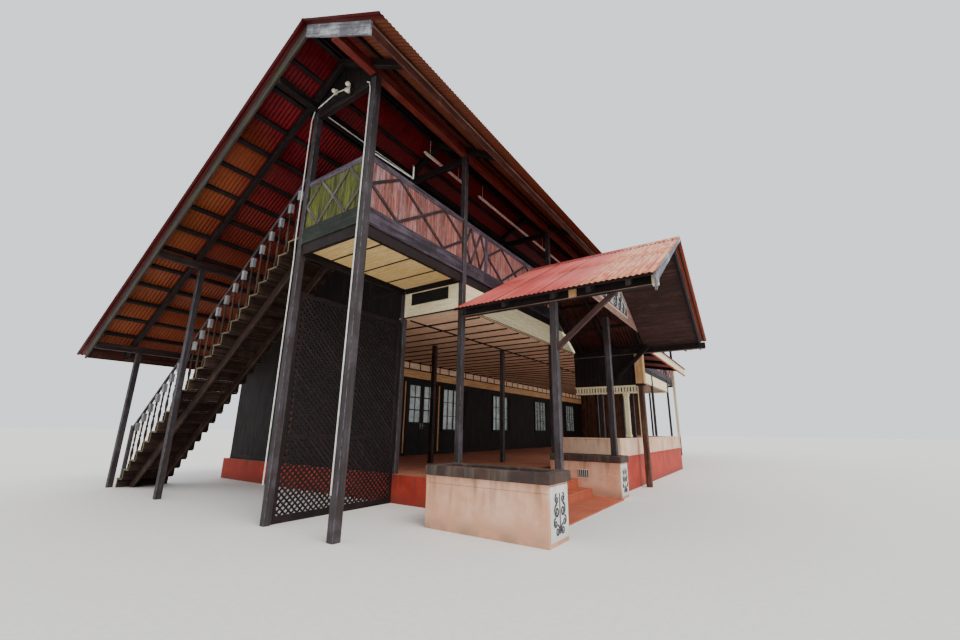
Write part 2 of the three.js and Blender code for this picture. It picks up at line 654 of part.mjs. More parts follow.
// Entrance porch, with its ridge square to the front
function porchZ(x) {
  return PORCH_RIDGE_Z - PORCH_SLOPE * Math.abs(x - PORCH_RIDGE_X);
}

function porchBand(x0, x1, upper, lower) {
  return [[x0, porchZ(x0) - upper], [x1, porchZ(x1) - upper], [x1, porchZ(x1) - lower],
    [x0, porchZ(x0) - lower]];
}

function porch() {
  const back = -GAP;
  const lift = SHEET * 1.16;
  const sheets = {
    porch_sheets_left: [PORCH_LEFT, PORCH_RIDGE_X - GAP],
    porch_sheets_right: [PORCH_RIDGE_X + GAP, PORCH_RIGHT],
  };
  for (const [name, [x0, x1]] of Object.entries(sheets)) {
    add(name, frontal(porchBand(x0, x1, -lift, 0), PORCH_FRONT, back), RED_SHEET, 0.6);
  }
  const wing = 170;
  const capLow = lift + GAP;
  const capHigh = capLow + 10;
  add('porch_ridge_cap', frontal([
    [PORCH_RIDGE_X - wing, porchZ(PORCH_RIDGE_X - wing) + capLow], [PORCH_RIDGE_X, PORCH_RIDGE_Z + capLow],
    [PORCH_RIDGE_X + wing, porchZ(PORCH_RIDGE_X + wing) + capLow],
    [PORCH_RIDGE_X + wing, porchZ(PORCH_RIDGE_X + wing) + capHigh], [PORCH_RIDGE_X, PORCH_RIDGE_Z + capHigh],
    [PORCH_RIDGE_X - wing, porchZ(PORCH_RIDGE_X - wing) + capHigh]], PORCH_FRONT, back), RED_SHEET, 0.6);

  // Two plates along the sides and pairs of rafters, closed by barge boards at the front
  const frontFace = PORCH_FRONT + 40;
  const plateX = { porch_plate_left: PORCH_POST_LEFT - POST / 2, porch_plate_right: PORCH_POST_RIGHT - POST / 2 };
  const clear = [];
  for (const [name, x] of Object.entries(plateX)) {
    add(name, box(x, frontFace + GAP, PORCH_PLATE_LOW, x + POST, back, PORCH_PLATE_TOP), DARK_TIMBER);
    clear.push(box(x - GAP, frontFace + 20, PORCH_PLATE_LOW - 30, x + POST + GAP, 10, PORCH_PLATE_TOP + GAP));
  }
  const eaveLeft = PORCH_LEFT + 20;
  const eaveRight = PORCH_RIGHT - 20;
  const rafterPair = (y0, y1, upper, lower) => frontal([
    [eaveLeft, porchZ(eaveLeft) - upper], [PORCH_RIDGE_X, PORCH_RIDGE_Z - upper],
    [eaveRight, porchZ(eaveRight) - upper], [eaveRight, porchZ(eaveRight) - lower],
    [PORCH_RIDGE_X, PORCH_RIDGE_Z - lower], [eaveLeft, porchZ(eaveLeft) - lower]], y0, y1);
  const rafters = [];
  for (const y of [-3500, -2850, TYMPANUM_Y + 40 + GAP, -1200, -300]) {
    rafters.push(rafterPair(y, y + 70, 45, 150));
  }
  const purlins = [60, 950, 1850, 2700].flatMap((inset) => [PORCH_LEFT + inset, PORCH_RIGHT - inset]);
  for (const x of [...purlins, PORCH_RIDGE_X - 60, PORCH_RIDGE_X + 60]) {
    rafters.push(frontal(porchBand(x - 25, x + 25, GAP, 48), frontFace - 2, back));
  }
  const barges = rafterPair(PORCH_FRONT, frontFace, BARGE_DROP, 250);
  add('porch_frame', cut(join([...rafters, barges]), clear), DARK_TIMBER);

  // Gable board set back over the posts, in front of a pair of rafters
  const under = 60;
  const half = (PORCH_RIDGE_Z - under - TYMPANUM_LOW) / PORCH_SLOPE;
  const gable = [[PORCH_RIDGE_X - half, TYMPANUM_LOW], [PORCH_RIDGE_X + half, TYMPANUM_LOW],
    [PORCH_RIDGE_X, PORCH_RIDGE_Z - under]];
  add('porch_gable_board', frontal(gable, TYMPANUM_Y, TYMPANUM_Y + 40), CREAM);

  porchPosts();
  sideScreen();
}

// Porch posts with the raking struts that hold the front of the plates, and the pillar on the right planter
const HEAD = 240;
function porchPosts() {
  const top = PORCH_PLATE_LOW - GAP;
  const y0 = PORCH_POST_Y - POST / 2;
  const y1 = PORCH_POST_Y + POST / 2;
  const strutLow = 2870;
  const strutY = y0 + END_INSET;
  const strutLeft = sideways([[strutY, strutLow], [strutY, strutLow + 130], [strutY - 1000, top],
    [strutY - 1130, top]], PORCH_POST_LEFT - 40, PORCH_POST_LEFT + 40);
  const postLeft = box(PORCH_POST_LEFT - POST / 2, y0, LANDING + GAP, PORCH_POST_LEFT + POST / 2, y1, top);
  add('porch_post_left', join([postLeft, strutLeft]), DARK_TIMBER);

  const thick = 150;
  const headLow = 2850;
  const squarePost = (width, low, high) => box(PORCH_POST_RIGHT - width / 2, PORCH_POST_Y - width / 2, low,
    PORCH_POST_RIGHT + width / 2, PORCH_POST_Y + width / 2, high);
  const strutRight = sideways([[-1360, 3145], [-2316, 4005], [-2396, 3915], [-1440, 3055]],
    PORCH_POST_RIGHT - HEAD / 2 - 80, PORCH_POST_RIGHT - HEAD / 2 + LAP);
  const pieces = [squarePost(thick, 0, headLow + 50), squarePost(HEAD, headLow, top), strutRight];
  add('porch_post_right', join(pieces), DARK_TIMBER);

  const pillar = 140;
  const [x, y] = [6490, -1930];
  add('porch_pillar', box(x, y, PLANTER_TOP - SOIL_DEPTH + GAP, x + pillar, y + pillar, TYMPANUM_LOW + 60),
    DARK_TIMBER);
}

// Screen between the right post and the house: boards over a slatted frieze, and a column under it
function sideScreen() {
  const x = PORCH_POST_RIGHT - 30;
  const front = PORCH_POST_Y + HEAD / 2 + GAP;
  const [boardsLow, frieze, sill, foot] = [2840, 2810, 2620, 2670];
  const [columnY, columnWide] = [-1650, 130];
  const screen = [
    box(x, front, boardsLow, x + 30, -GAP, PORCH_PLATE_LOW - GAP),
    box(x - 15, front, frieze, x + 45, -GAP, boardsLow + 20),
    box(x - 15, front, sill, x + 45, -GAP, foot),
    box(x - 50, columnY, PARAPET_TOP + GAP, x - 50 + columnWide, columnY + columnWide, sill + LAP),
  ];
  for (let y = front + 40; y < -100; y += 130) {
    screen.push(box(x, y, foot - LAP, x + 30, y + 45, frieze + LAP));
  }
  add('porch_side_screen', join(screen), CREAM);
}

// Second canopy over the terrace
function canopy() {
  const x0 = 9900;
  const x1 = 16700;
  const front = -2300;
  const z0 = 4230;
  const z1 = 4640;
  add('canopy_sheets', sideways([[front, z0], [-GAP, z1], [-GAP, z1 + SHEET], [front, z0 + SHEET]], x0, x1),
    DARK_RED_SHEET, 0.6);
  const pieces = [box(x0 + 60, front + 60, z0 - 280, x1 - 60, front + 95, z0 + 8)];
  const rise = (z1 - z0) / -front;
  const under = (y) => z0 + rise * (y - front) - GAP;
  for (let x = x0 + 60; x <= x1 - 60; x += (x1 - x0 - 220) / 3) {
    pieces.push(sideways([[front + 70, under(front + 70)], [-GAP, under(-GAP)], [-GAP, under(-GAP) - 120],
      [front + 70, under(front + 70) - 120]], x, x + 100));
  }
  for (const x of [x0 + 90, x1 - 190]) {
    pieces.push(box(x, -1790, 1330 + GAP, x + 90, -1700, z0));
  }
  add('canopy_frame', join(pieces), CREAM);
}

masonry();
planter('planter_left', PLANTER_LEFT, PLANTER_LEFT + PLANTER_LEFT_WIDTH, -2450, -300);
planter('planter_right', PLANTER_RIGHT + GAP, PLANTER_RIGHT + PLANTER_RIGHT_WIDTH, -2050, -300);
cornerFrame('corner_frame_left', 0, 1);
cornerFrame('corner_frame_right', LENGTH, -1,
  [frontBalustrade(LENGTH - CORNER_BAY + POST / 2 + GAP, LENGTH - CORNER_POST + 2)]);
frontBays();
floors();
plateBeams();
walls();
glass();
doors();
mainRoof();
endPosts();
stair();
latticeScreen();
porch();
canopy();

group.position.set(-LENGTH / 2, -(PORCH_FRONT + REAR_EDGE) / 2, 0);

export default group;
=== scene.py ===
"""Looks of a long two-storey timber house with a gallery, an outside stair and an entrance porch.

House measurements are metres from the foot of the front left post, as in the part's source: X runs along
the front, Y to the rear and Z up. HOME carries them into the frame.
"""

import math
import random
from functools import cache, partial

import bmesh
import bpy
from mathutils import Matrix, Vector


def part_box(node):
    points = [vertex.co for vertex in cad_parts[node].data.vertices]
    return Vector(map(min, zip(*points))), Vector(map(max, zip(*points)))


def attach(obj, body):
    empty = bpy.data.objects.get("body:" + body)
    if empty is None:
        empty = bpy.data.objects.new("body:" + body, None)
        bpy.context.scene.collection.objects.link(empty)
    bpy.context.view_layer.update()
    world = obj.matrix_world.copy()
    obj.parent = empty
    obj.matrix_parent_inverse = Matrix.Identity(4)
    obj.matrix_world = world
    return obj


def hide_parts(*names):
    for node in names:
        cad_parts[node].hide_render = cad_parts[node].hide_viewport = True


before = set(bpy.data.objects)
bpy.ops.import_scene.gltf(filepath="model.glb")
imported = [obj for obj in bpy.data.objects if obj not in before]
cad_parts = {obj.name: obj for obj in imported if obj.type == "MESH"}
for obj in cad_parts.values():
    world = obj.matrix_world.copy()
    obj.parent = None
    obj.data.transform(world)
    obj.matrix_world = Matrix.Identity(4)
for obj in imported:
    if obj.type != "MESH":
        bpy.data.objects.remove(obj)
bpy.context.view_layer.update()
HOME = Vector(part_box("corner_frame_left")[0])
AXES = {"X": Vector((1, 0, 0)), "Y": Vector((0, 1, 0)), "Z": Vector((0, 0, 1))}

# Plan and levels of the house
CORNER_BAY, BAY, MIDDLE_BAYS = 2.83, 4.5, 5
LENGTH = 2 * CORNER_BAY + MIDDLE_BAYS * BAY
GALLERY, HALL_Y, DEPTH = 1.81, 5.9, 8.9
CORNER_POST, POST, WALL = 0.14, 0.12, 0.06
FLOOR, CEILING, BEAM_LOW, DECK_LOW, FASCIA_LOW = 0.57, 3.98, 4.57, 4.69, 4.78
UPPER_FLOOR, RAIL_TOP, PLATE_LOW = 5.06, 6.06, 7.70
MIDDLE_PLATE_LOW, REAR_PLATE_LOW, PLATE_DEPTH = 5.18, 3.38, 0.16
POST_LINES = [CORNER_POST / 2] + [CORNER_BAY + k * BAY for k in range(MIDDLE_BAYS + 1)]
POST_LINES.append(LENGTH - CORNER_POST / 2)
BODY_LEFT, BODY_RIGHT = CORNER_BAY + POST / 2, LENGTH - CORNER_BAY - POST / 2
DOOR_LEFT, DOOR_RIGHT, DOOR_TOP = 7.45, 9.05, 3.235

# Main roof, by the underside of its sheets
SLOPE = math.tan(math.radians(31.2))
ALONG = 1 / math.cos(math.atan(SLOPE))
RIDGE_Y, RIDGE_Z = 0.905, 8.512
FRONT_EDGE, REAR_EDGE, VERGE, BARGE = -1.2, 9.6, 1.0, 0.89
PURLIN, END_RAFTER = 0.05, 0.07
EDGE_INSET, SHEET_LIFT = 0.0015, 0.0255

# Porch roof
PORCH_X, PORCH_Z, PORCH_LEFT, PORCH_RIGHT, PORCH_FRONT = 5.945, 5.88, 2.445, 9.2, -3.9
PORCH_SLOPE = (PORCH_Z - 3.87) / (PORCH_X - PORCH_LEFT)
PORCH_ALONG = 1.16

# Ways that the ribs of the sheets run
MAIN_DOWN, PORCH_DOWN, CANOPY_DOWN = (0.0, 0.855, 0.518), (0.862, 0.0, 0.507), (0.0, 0.984, 0.176)


def roof_z(y):
    return RIDGE_Z - SLOPE * abs(y - RIDGE_Y)


def porch_z(x):
    return PORCH_Z - PORCH_SLOPE * abs(x - PORCH_X)


def band(height, a, b, upper, lower):
    """Outline from a to b between two depths below a slope."""
    return [(a, height(a) - upper), (b, height(b) - upper), (b, height(b) - lower), (a, height(a) - lower)]


def under_roof(a, b, low, gap):
    """Outline from a level foot up to just below the main roof."""
    return [(a, low), (b, low), (b, roof_z(b) - gap), (a, roof_z(a) - gap)]


# Shader building blocks

class Nodes:
    """Short ways to add nodes to a shader tree. An input takes a value or another node's output."""

    def __init__(self, tree):
        self.tree = tree

    def put(self, kind, inputs=None, **settings):
        node = self.tree.nodes.new("ShaderNode" + kind)
        for name, value in settings.items():
            setattr(node, name, value)
        for name, value in (inputs or {}).items():
            if isinstance(value, bpy.types.NodeSocket):
                self.tree.links.new(value, node.inputs[name])
            else:
                node.inputs[name].default_value = value
        return node.outputs

    def calc(self, operation, a, b=0.0):
        return self.put("Math", {0: a, 1: b}, operation=operation)[0]

    def times(self, a, b):
        return self.calc("MULTIPLY", a, b)

    def plus(self, a, b):
        return self.calc("ADD", a, b)

    def minus(self, a, b):
        return self.calc("SUBTRACT", a, b)

    def vector(self, operation, a, b):
        inputs = {0: a, "Scale" if operation == "SCALE" else 1: b}
        return self.put("VectorMath", inputs,
                        operation=operation)["Value" if operation == "DOT_PRODUCT" else 0]

    def blend(self, factor, a, b, kind="MIX"):
        return self.put("Mix", {0: factor, 6: a, 7: b}, data_type="RGBA", blend_type=kind)[2]

    def shaded(self, color, value):
        grey = self.put("CombineColor", {0: value, 1: value, 2: value})[0]
        return self.blend(1.0, color, grey, "MULTIPLY")

    def spread(self, value, low, high, out_low=0.0, out_high=1.0):
        """The value stretched from low..high to out_low..out_high, smoothly and without going past them."""
        inputs = {"Value": value, "From Min": low, "From Max": high, "To Min": out_low, "To Max": out_high}
        return self.put("MapRange", inputs, interpolation_type="SMOOTHSTEP")["Result"]

    def noise(self, vector, scale, detail=4.0, roughness=0.6):
        return self.put("TexNoise",
                        {"Vector": vector, "Scale": scale, "Detail": detail, "Roughness": roughness})["Fac"]

    def place(self):
        return self.put("TexCoord")["Object"]

    def house_place(self):
        """X, Y and Z of the shaded point in house measurements."""
        return self.put("SeparateXYZ", {0: self.vector("SUBTRACT", self.place(), HOME)})

    def stretched(self, vector, axis, keep):
        """Coordinates squeezed along an axis, so that a pattern is drawn out along it."""
        cut = self.times(self.vector("DOT_PRODUCT", vector, axis), 1.0 - keep)
        return self.vector("SUBTRACT", vector, self.vector("SCALE", axis, cut))

    def attribute(self, name, output="Fac"):
        return self.put("Attribute", attribute_name=name)[output]

    def link(self, source, target):
        self.tree.links.new(source, target)


def new_group(name, outputs, **inputs):
    """An empty node group: its builder, the sockets of its inputs and those of its outputs."""
    tree = bpy.data.node_groups.new(name, "ShaderNodeTree")
    for side, sockets in (("INPUT", inputs), ("OUTPUT", outputs)):
        for label, kind in sockets.items():
            tree.interface.new_socket(label, in_out=side, socket_type="NodeSocket" + kind)
    return Nodes(tree), tree.nodes.new("NodeGroupInput").outputs, tree.nodes.new("NodeGroupOutput").inputs


def give(nodes, sockets, **values):
    """Ends a group: the values go to its outputs."""
    for label, value in values.items():
        nodes.link(value, sockets[label])
    return nodes.tree


LOOK = {"Color": "Color", "Roughness": "Float", "Height": "Float"}


def timber_group():
    """Weathered timber: grain along each board, a tone for each board, worn patches and worn edges."""
    n, value, out = new_group("weathered_timber", LOOK, Grain="Vector", Tone="Float", Edge="Float",
                              Dark="Color", Light="Color", Worn="Color", Weather="Float", Tones="Float")
    where = n.vector("ADD", n.place(), n.vector("SCALE", (17.3, 31.1, 23.7), value["Tone"]))
    drawn = n.stretched(where, value["Grain"], 0.05)
    streak, fibre = n.noise(drawn, 26.0, 6.0, 0.62), n.noise(drawn, 130.0, 3.0, 0.7)
    color = n.blend(n.spread(streak, 0.36, 0.66), value["Dark"], value["Light"])
    color = n.shaded(color, n.plus(n.times(n.minus(value["Tone"], 0.5), value["Tones"]), 1.0))
    patch = n.times(n.spread(n.noise(where, 1.6, 5.0, 0.65), 0.46, 0.66), value["Weather"])
    patch = n.times(patch, n.spread(streak, 0.3, 0.6))
    chipped = n.times(value["Edge"], n.spread(n.noise(where, 9.0), 0.4, 0.62))
    color = n.blend(n.calc("MAXIMUM", patch, n.times(chipped, 0.75)), color, value["Worn"])
    return give(n, out, Color=n.shaded(color, n.spread(fibre, 0.3, 0.75, 0.72, 1.12)),
                Roughness=n.spread(streak, 0.2, 0.8, 0.55, 0.9),
                Height=n.plus(n.times(streak, 0.6), n.times(fibre, 0.4)))


def sheet_group():
    """Painted roof sheet: a tone for each sheet, faded streaks down the slope, painted shade in the valleys
    between ribs, and rust.
    """
    n, value, out = new_group("painted_sheet", LOOK, Down="Vector", Tone="Float", Rib="Float", Paint="Color",
                              Faded="Color", Rust="Color", Wear="Float")
    where = n.place()
    streak = n.noise(n.stretched(where, value["Down"], 0.08), 9.0, 5.0, 0.6)
    cloud, speck = n.noise(where, 0.55, 5.0, 0.6), n.noise(where, 38.0, 4.0, 0.7)
    fade = n.plus(n.times(streak, 0.55), n.times(cloud, 0.45))
    fade = n.plus(fade, n.times(n.minus(value["Tone"], 0.5), 0.07))
    color = n.blend(n.spread(fade, 0.36, 0.66), value["Paint"], value["Faded"])
    rust = n.times(n.spread(streak, 0.56, 0.74), n.spread(cloud, 0.44, 0.6))
    rust = n.times(n.plus(rust, n.spread(speck, 0.62, 0.8, 0.0, 0.35)), value["Wear"])
    color = n.blend(n.calc("MINIMUM", rust, 1.0), color, value["Rust"])
    # The rib wave darkens the valleys between ribs: painted shade.
    return give(n, out, Color=n.shaded(color, n.spread(value["Rib"], 0.0, 0.6, 0.62, 1.0)),
                Roughness=n.spread(fade, 0.3, 0.7, 0.42, 0.75), Height=n.times(speck, 0.5))


def masonry_group():
    """Painted plaster: mottled, with streaks down from its top and splashes near the ground."""
    n, value, out = new_group("stained_plaster", LOOK, Paint="Color", Faded="Color", Stain="Color",
                              Top="Float", Dirt="Float")
    where = n.place()
    up = n.put("SeparateXYZ", {0: where})["Z"]
    runs = n.noise(n.stretched(where, (0.0, 0.0, 1.0), 0.12), 7.0, 5.0, 0.62)
    cloud, grit = n.noise(where, 2.2, 6.0, 0.62), n.noise(where, 90.0, 3.0, 0.7)
    color = n.blend(n.spread(cloud, 0.36, 0.66), value["Paint"], value["Faded"])
    runs = n.times(n.spread(runs, 0.46, 0.7), n.spread(n.minus(value["Top"], up), 0.0, 0.55, 1.0, 0.15))
    splash = n.times(n.spread(up, 0.02, 0.32, 1.0, 0.0), n.spread(cloud, 0.3, 0.62))
    dirt = n.times(n.calc("MAXIMUM", runs, splash), value["Dirt"])
    return give(n, out, Color=n.blend(dirt, color, value["Stain"]),
                Roughness=n.spread(cloud, 0.3, 0.7, 0.7, 0.92),
                Height=n.plus(n.times(cloud, 0.5), n.times(grit, 0.5)))


def board_group():
    """Boards drawn on a plain surface: a tone for each board and a dark line between boards."""
    n, value, out = new_group("board_lines", {"Tone": "Float", "Gap": "Float"}, Across="Vector",
                              Width="Float")
    count = n.calc("DIVIDE", n.vector("DOT_PRODUCT", n.place(), value["Across"]), value["Width"])
    tone = n.put("TexWhiteNoise", {"W": n.calc("FLOOR", count)}, noise_dimensions="1D")["Value"]
    edge = n.calc("ABSOLUTE", n.minus(n.calc("FRACT", count), 0.5))
    return give(n, out, Tone=tone, Gap=n.spread(edge, 0.455, 0.49))


TIMBER_GROUP, SHEET_GROUP = timber_group(), sheet_group()
MASONRY_GROUP, BOARD_GROUP = masonry_group(), board_group()


def blank_finish(name, **constants):
    """A material with only its Principled shader, and that shader's own constants."""
    material = bpy.data.materials.new(name)
    material.use_nodes = True
    surface = material.node_tree.nodes["Principled BSDF"].inputs
    for label, value in constants.items():
        surface[label.replace("_", " ")].default_value = value
    return material, Nodes(material.node_tree), surface


def dress_surface(nodes, surface, group, inputs, depth, strength=0.6):
    """Colour, roughness and bump of a group's look, on the shader."""
    look = nodes.put("Group", inputs, node_tree=group)
    bump = nodes.put("Bump", {"Height": look["Height"], "Strength": strength, "Distance": depth})
    nodes.link(look["Color"], surface["Base Color"])
    nodes.link(look["Roughness"], surface["Roughness"])
    nodes.link(bump["Normal"], surface["Normal"])


def overlay(material, mask, color):
    """Another colour over a material's own, where the mask is white."""
    base = material.node_tree.nodes["Principled BSDF"].inputs["Base Color"]
    nodes = Nodes(material.node_tree)
    nodes.link(nodes.blend(mask, base.links[0].from_socket, color), base)
    return material


def rgb(red, green, blue):
    """A colour given as it is seen, from 0 to 255, as the shader's linear one."""
    return tuple(((c / 255) ** 2.2) for c in (red, green, blue)) + (1.0,)


def timber(name, dark, light, worn, weather=0.5, tones=0.5, boards=None, grain=None, gloss=0.28):
    """Timber whose grain, tone and edges come from the piece. A CAD node gives its grain, and may give boards
    by their axis across and their width."""
    material, n, surface = blank_finish(name, Specular_IOR_Level=gloss)
    inputs = {"Dark": rgb(*dark), "Light": rgb(*light), "Worn": rgb(*worn), "Weather": weather,
              "Tones": tones}
    if grain:
        inputs.update(Grain=AXES[grain], Tone=0.5)
    else:
        inputs.update(Grain=n.attribute("grain", "Vector"), Tone=n.attribute("tone"),
                      Edge=n.attribute("edge"))
    if boards:
        lines = n.put("Group", {"Across": AXES[boards[0]], "Width": boards[1]}, node_tree=BOARD_GROUP)
        inputs["Tone"] = lines["Tone"]
    dress_surface(n, surface, TIMBER_GROUP, inputs, 0.002)
    return overlay(material, lines["Gap"], rgb(18, 12, 10)) if boards else material


def roof_sheet(name, paint, faded, rust, wear, down, gloss=0.3):
    """Painted corrugated sheet; down is the axis that its ribs follow."""
    material, n, surface = blank_finish(name, Specular_IOR_Level=gloss)
    inputs = {"Down": down, "Paint": rgb(*paint), "Faded": rgb(*faded), "Rust": rgb(*rust), "Wear": wear,
              "Tone": n.attribute("tone"), "Rib": n.attribute("rib")}
    dress_surface(n, surface, SHEET_GROUP, inputs, 0.0015, 0.4)
    return material


def plaster(name, paint, faded, stain, top, dirt=0.7, depth=0.003):
    material, n, surface = blank_finish(name)
    inputs = {"Paint": rgb(*paint), "Faded": rgb(*faded), "Stain": rgb(*stain), "Top": top, "Dirt": dirt}
    dress_surface(n, surface, MASONRY_GROUP, inputs, depth)
    return material


def plain(name, dark, light, roughness=0.5, **constants):
    """A plain finish with a little mottling."""
    material, n, surface = blank_finish(name, **constants)
    cloud = n.noise(n.place(), 14.0)
    n.link(n.blend(n.spread(cloud, 0.35, 0.65), rgb(*dark), rgb(*light)), surface["Base Color"])
    n.link(n.spread(cloud, 0.3, 0.7, roughness - 0.08, roughness + 0.08), surface["Roughness"])
    return material


# Finishes of timber: dark, light and worn colour, how weathered it is and how much its boards differ

post_timber = partial(timber, "post_timber", (28, 20, 20), (62, 49, 49), (104, 98, 110), 0.35, gloss=0.6)
dark_timber = partial(timber, "dark_timber", (18, 12, 12), (40, 28, 27), (74, 61, 59), 0.25)
rail_timber = partial(timber, "rail_timber", (54, 46, 53), (90, 80, 90), (128, 120, 132))
front_fascia = partial(timber, "front_fascia", (38, 31, 37), (70, 60, 70), (108, 98, 112))
front_boards = partial(timber, "front_boards", (112, 60, 48), (160, 108, 100), (176, 150, 158), 0.55, 0.6)
end_boards = partial(timber, "end_boards", (50, 52, 16), (100, 104, 42), (128, 134, 74), 0.4)
end_fascia = partial(timber, "end_fascia", (22, 26, 22), (46, 52, 44), (78, 84, 72), 0.35)
batten_timber = partial(timber, "batten_timber", (34, 23, 24), (62, 45, 47), (104, 90, 94), 0.35)
end_batten = partial(timber, "end_batten", (58, 52, 48), (98, 90, 84), (138, 130, 124))
tan_panel = partial(timber, "tan_panel", (226, 186, 118), (244, 212, 148), (246, 222, 170), 0.3, 0.12)
ceiling_board = partial(timber, "ceiling_board", (236, 190, 152), (252, 222, 190), (252, 230, 206), 0.4, 0.2)
cream_paint = partial(timber, "cream_paint", (236, 222, 178), (250, 240, 202), (216, 198, 152), 0.25, 0.12)
sign_paint = partial(timber, "sign_paint", (14, 13, 15), (26, 24, 26), (50, 46, 44), 0.2, 0.1)
white_barge = partial(timber, "white_barge", (84, 84, 88), (122, 122, 128), (214, 216, 220), 0.8, 0.15)
mossy_barge = partial(timber, "mossy_barge", (46, 40, 37), (80, 72, 66), (70, 72, 48), 0.8, 0.3)
shaded_barge = partial(timber, "shaded_barge", (14, 12, 20), (28, 25, 36), (52, 46, 56), 0.3, 0.2)
eave_board = partial(timber, "eave_board", (58, 30, 26), (90, 50, 44), (122, 88, 76), 0.4, 0.2)
# Thin pale strips along the edges of eave boards, barge boards and plates.
pale_strip = partial(timber, "pale_strip", (98, 74, 62), (140, 112, 96), (164, 144, 130), 0.5, 0.2)
red_plate = partial(timber, "red_plate", (84, 28, 24), (124, 50, 41), (124, 78, 66), 0.4, 0.2, grain="X")
plate_timber = partial(timber, "plate_timber", (34, 24, 24), (66, 48, 46), (92, 76, 72), 0.4, grain="X")
wall_boards = partial(timber, "wall_boards", (16, 11, 11), (36, 25, 24), (58, 45, 43), 0.35)
deck_boards = partial(timber, "deck_boards", (70, 48, 38), (112, 80, 62), (140, 112, 92), 0.4,
                      boards=("Y", 0.14), grain="X")
stair_timber = partial(timber, "stair_timber", (34, 22, 19), (66, 46, 38), (104, 84, 72), 0.45)
pale_edge = partial(timber, "pale_edge", (74, 66, 46), (118, 106, 74), (150, 138, 106), 0.5, 0.2)
baluster_block = partial(timber, "baluster_block", (104, 100, 102), (148, 144, 146), (176, 172, 172), 0.5,
                         0.3)
brown_post = partial(timber, "brown_post", (62, 39, 31), (104, 70, 56), (134, 102, 84), 0.45)
tan_head = partial(timber, "tan_head", (204, 150, 100), (232, 188, 138), (170, 122, 84), 0.4, 0.2)
gable_border = partial(timber, "gable_border", (150, 112, 98), (188, 152, 134), (206, 180, 164), 0.5, 0.15)
gable_white = partial(timber, "gable_white", (204, 204, 198), (230, 230, 226), (176, 172, 160), 0.4, 0.08)
motif_grey = partial(timber, "motif_grey", (44, 46, 56), (76, 78, 88), (112, 112, 118), 0.3, 0.1)
motif_red = partial(timber, "motif_red", (140, 46, 34), (176, 66, 48), (190, 120, 100), 0.3, 0.1)
door_paint = partial(timber, "door_paint", (24, 20, 22), (46, 38, 40), (70, 60, 58), 0.3, 0.2)
porch_boards = partial(timber, "porch_boards", (44, 28, 27), (72, 47, 44), (96, 72, 66), 0.35, 0.35)

# Finishes of sheets: paint, faded and rust colour, wear, and the way of the ribs
main_sheet = partial(roof_sheet, "main_sheet", (106, 50, 46), (144, 84, 77), (82, 46, 38), 0.5, MAIN_DOWN)
canopy_sheet = partial(roof_sheet, "canopy_sheet", (104, 38, 34), (140, 64, 56), (80, 50, 40), 0.5,
                       CANOPY_DOWN)
ridge_metal = partial(roof_sheet, "ridge_metal", (88, 50, 46), (128, 88, 82), (78, 52, 44), 0.6,
                      (0.0, 1.0, 0.0))

# Finishes of masonry: paint, faded and stain colour, height of the top, dirt, and depth of the bumps
red_dado = partial(plaster, "red_dado", (158, 44, 30), (184, 68, 50), (92, 56, 44), 0.85, 0.6)
cream_plaster = partial(plaster, "cream_plaster", (214, 170, 140), (228, 196, 168), (150, 116, 92), 1.33, 0.5)
pale_plaster = partial(plaster, "pale_plaster", (206, 204, 196), (226, 224, 216), (140, 134, 120), 0.8, 0.5)
peach_plaster = partial(plaster, "peach_plaster", (212, 156, 124), (228, 184, 156), (136, 100, 78), 0.8)
brown_cap = partial(plaster, "brown_cap", (52, 38, 34), (78, 58, 50), (98, 92, 80), 0.94, 0.6)
potting_soil = partial(plaster, "potting_soil", (58, 42, 32), (84, 64, 50), (40, 30, 24), 0.9, 0.8, 0.02)

# Plain finishes: dark and light colour, and roughness
white_conduit = partial(plain, "white_conduit", (196, 194, 188), (224, 222, 216), 0.45)
lamp_housing = partial(plain, "lamp_housing", (208, 200, 176), (232, 226, 206), 0.35)
lamp_glass = partial(plain, "lamp_glass", (214, 206, 186), (236, 230, 214), 0.2)
pink_tube = partial(plain, "pink_tube", (214, 168, 166), (236, 206, 202), 0.3)
door_metal = partial(plain, "door_metal", (90, 84, 76), (130, 122, 108), 0.35, Metallic=0.9)
# The curtains glow a little: painted daylight coming through them.
white_curtain = partial(plain, "white_curtain", (226, 226, 222), (246, 246, 242), 0.85, Sheen_Weight=0.2,
                        Emission_Color=(1.0, 0.97, 0.9, 1.0), Emission_Strength=0.3)
# Dark grille colour, also used for the painted shade under the porch ridge cap.
grille_and_painted_shade = partial(plain, "grille_and_painted_shade", (24, 20, 20), (44, 38, 36), 0.6)
studio_pale = partial(plain, "studio_pale", (228, 226, 222), (234, 232, 228), 0.8)


def main_under():
    """Underside of the main sheets: crimson by the ridge, turned orange brown to the rear and at the verges
    by painted light, brown on the front overhang as painted shade with bounce light from the ground, and a
    darker strip past the barge boards as painted shade.
    """
    material = roof_sheet("main_under", (88, 10, 24), (120, 20, 30), (104, 52, 34), 0.35, MAIN_DOWN, 0.2)
    n, half = Nodes(material.node_tree), LENGTH / 2
    x, y, _ = n.house_place()
    drift = n.times(n.minus(n.noise(n.place(), 0.7), 0.5), 3.0)
    from_middle, drifted = n.calc("ABSOLUTE", n.minus(x, half)), n.plus(y, drift)
    side = n.spread(n.plus(from_middle, n.times(drift, 0.3)), half - 0.3, half + 0.5)
    side = n.times(side, n.spread(drifted, 2.4, 4.2, 0.0, 0.95))
    # Painted light: orange brown towards the rear and at the verges.
    overlay(material, n.calc("MAXIMUM", n.spread(drifted, 2.8, 8.2, 0.0, 0.75), side), rgb(132, 68, 38))
    # Painted shade with bounce light from the ground: brown on the front overhang.
    overlay(material, n.spread(y, 0.3, -0.2), rgb(104, 58, 40))
    # Painted shade: a darker strip past the barge boards.
    return overlay(material, n.spread(from_middle, half + 0.87, half + 0.9), rgb(78, 24, 24))


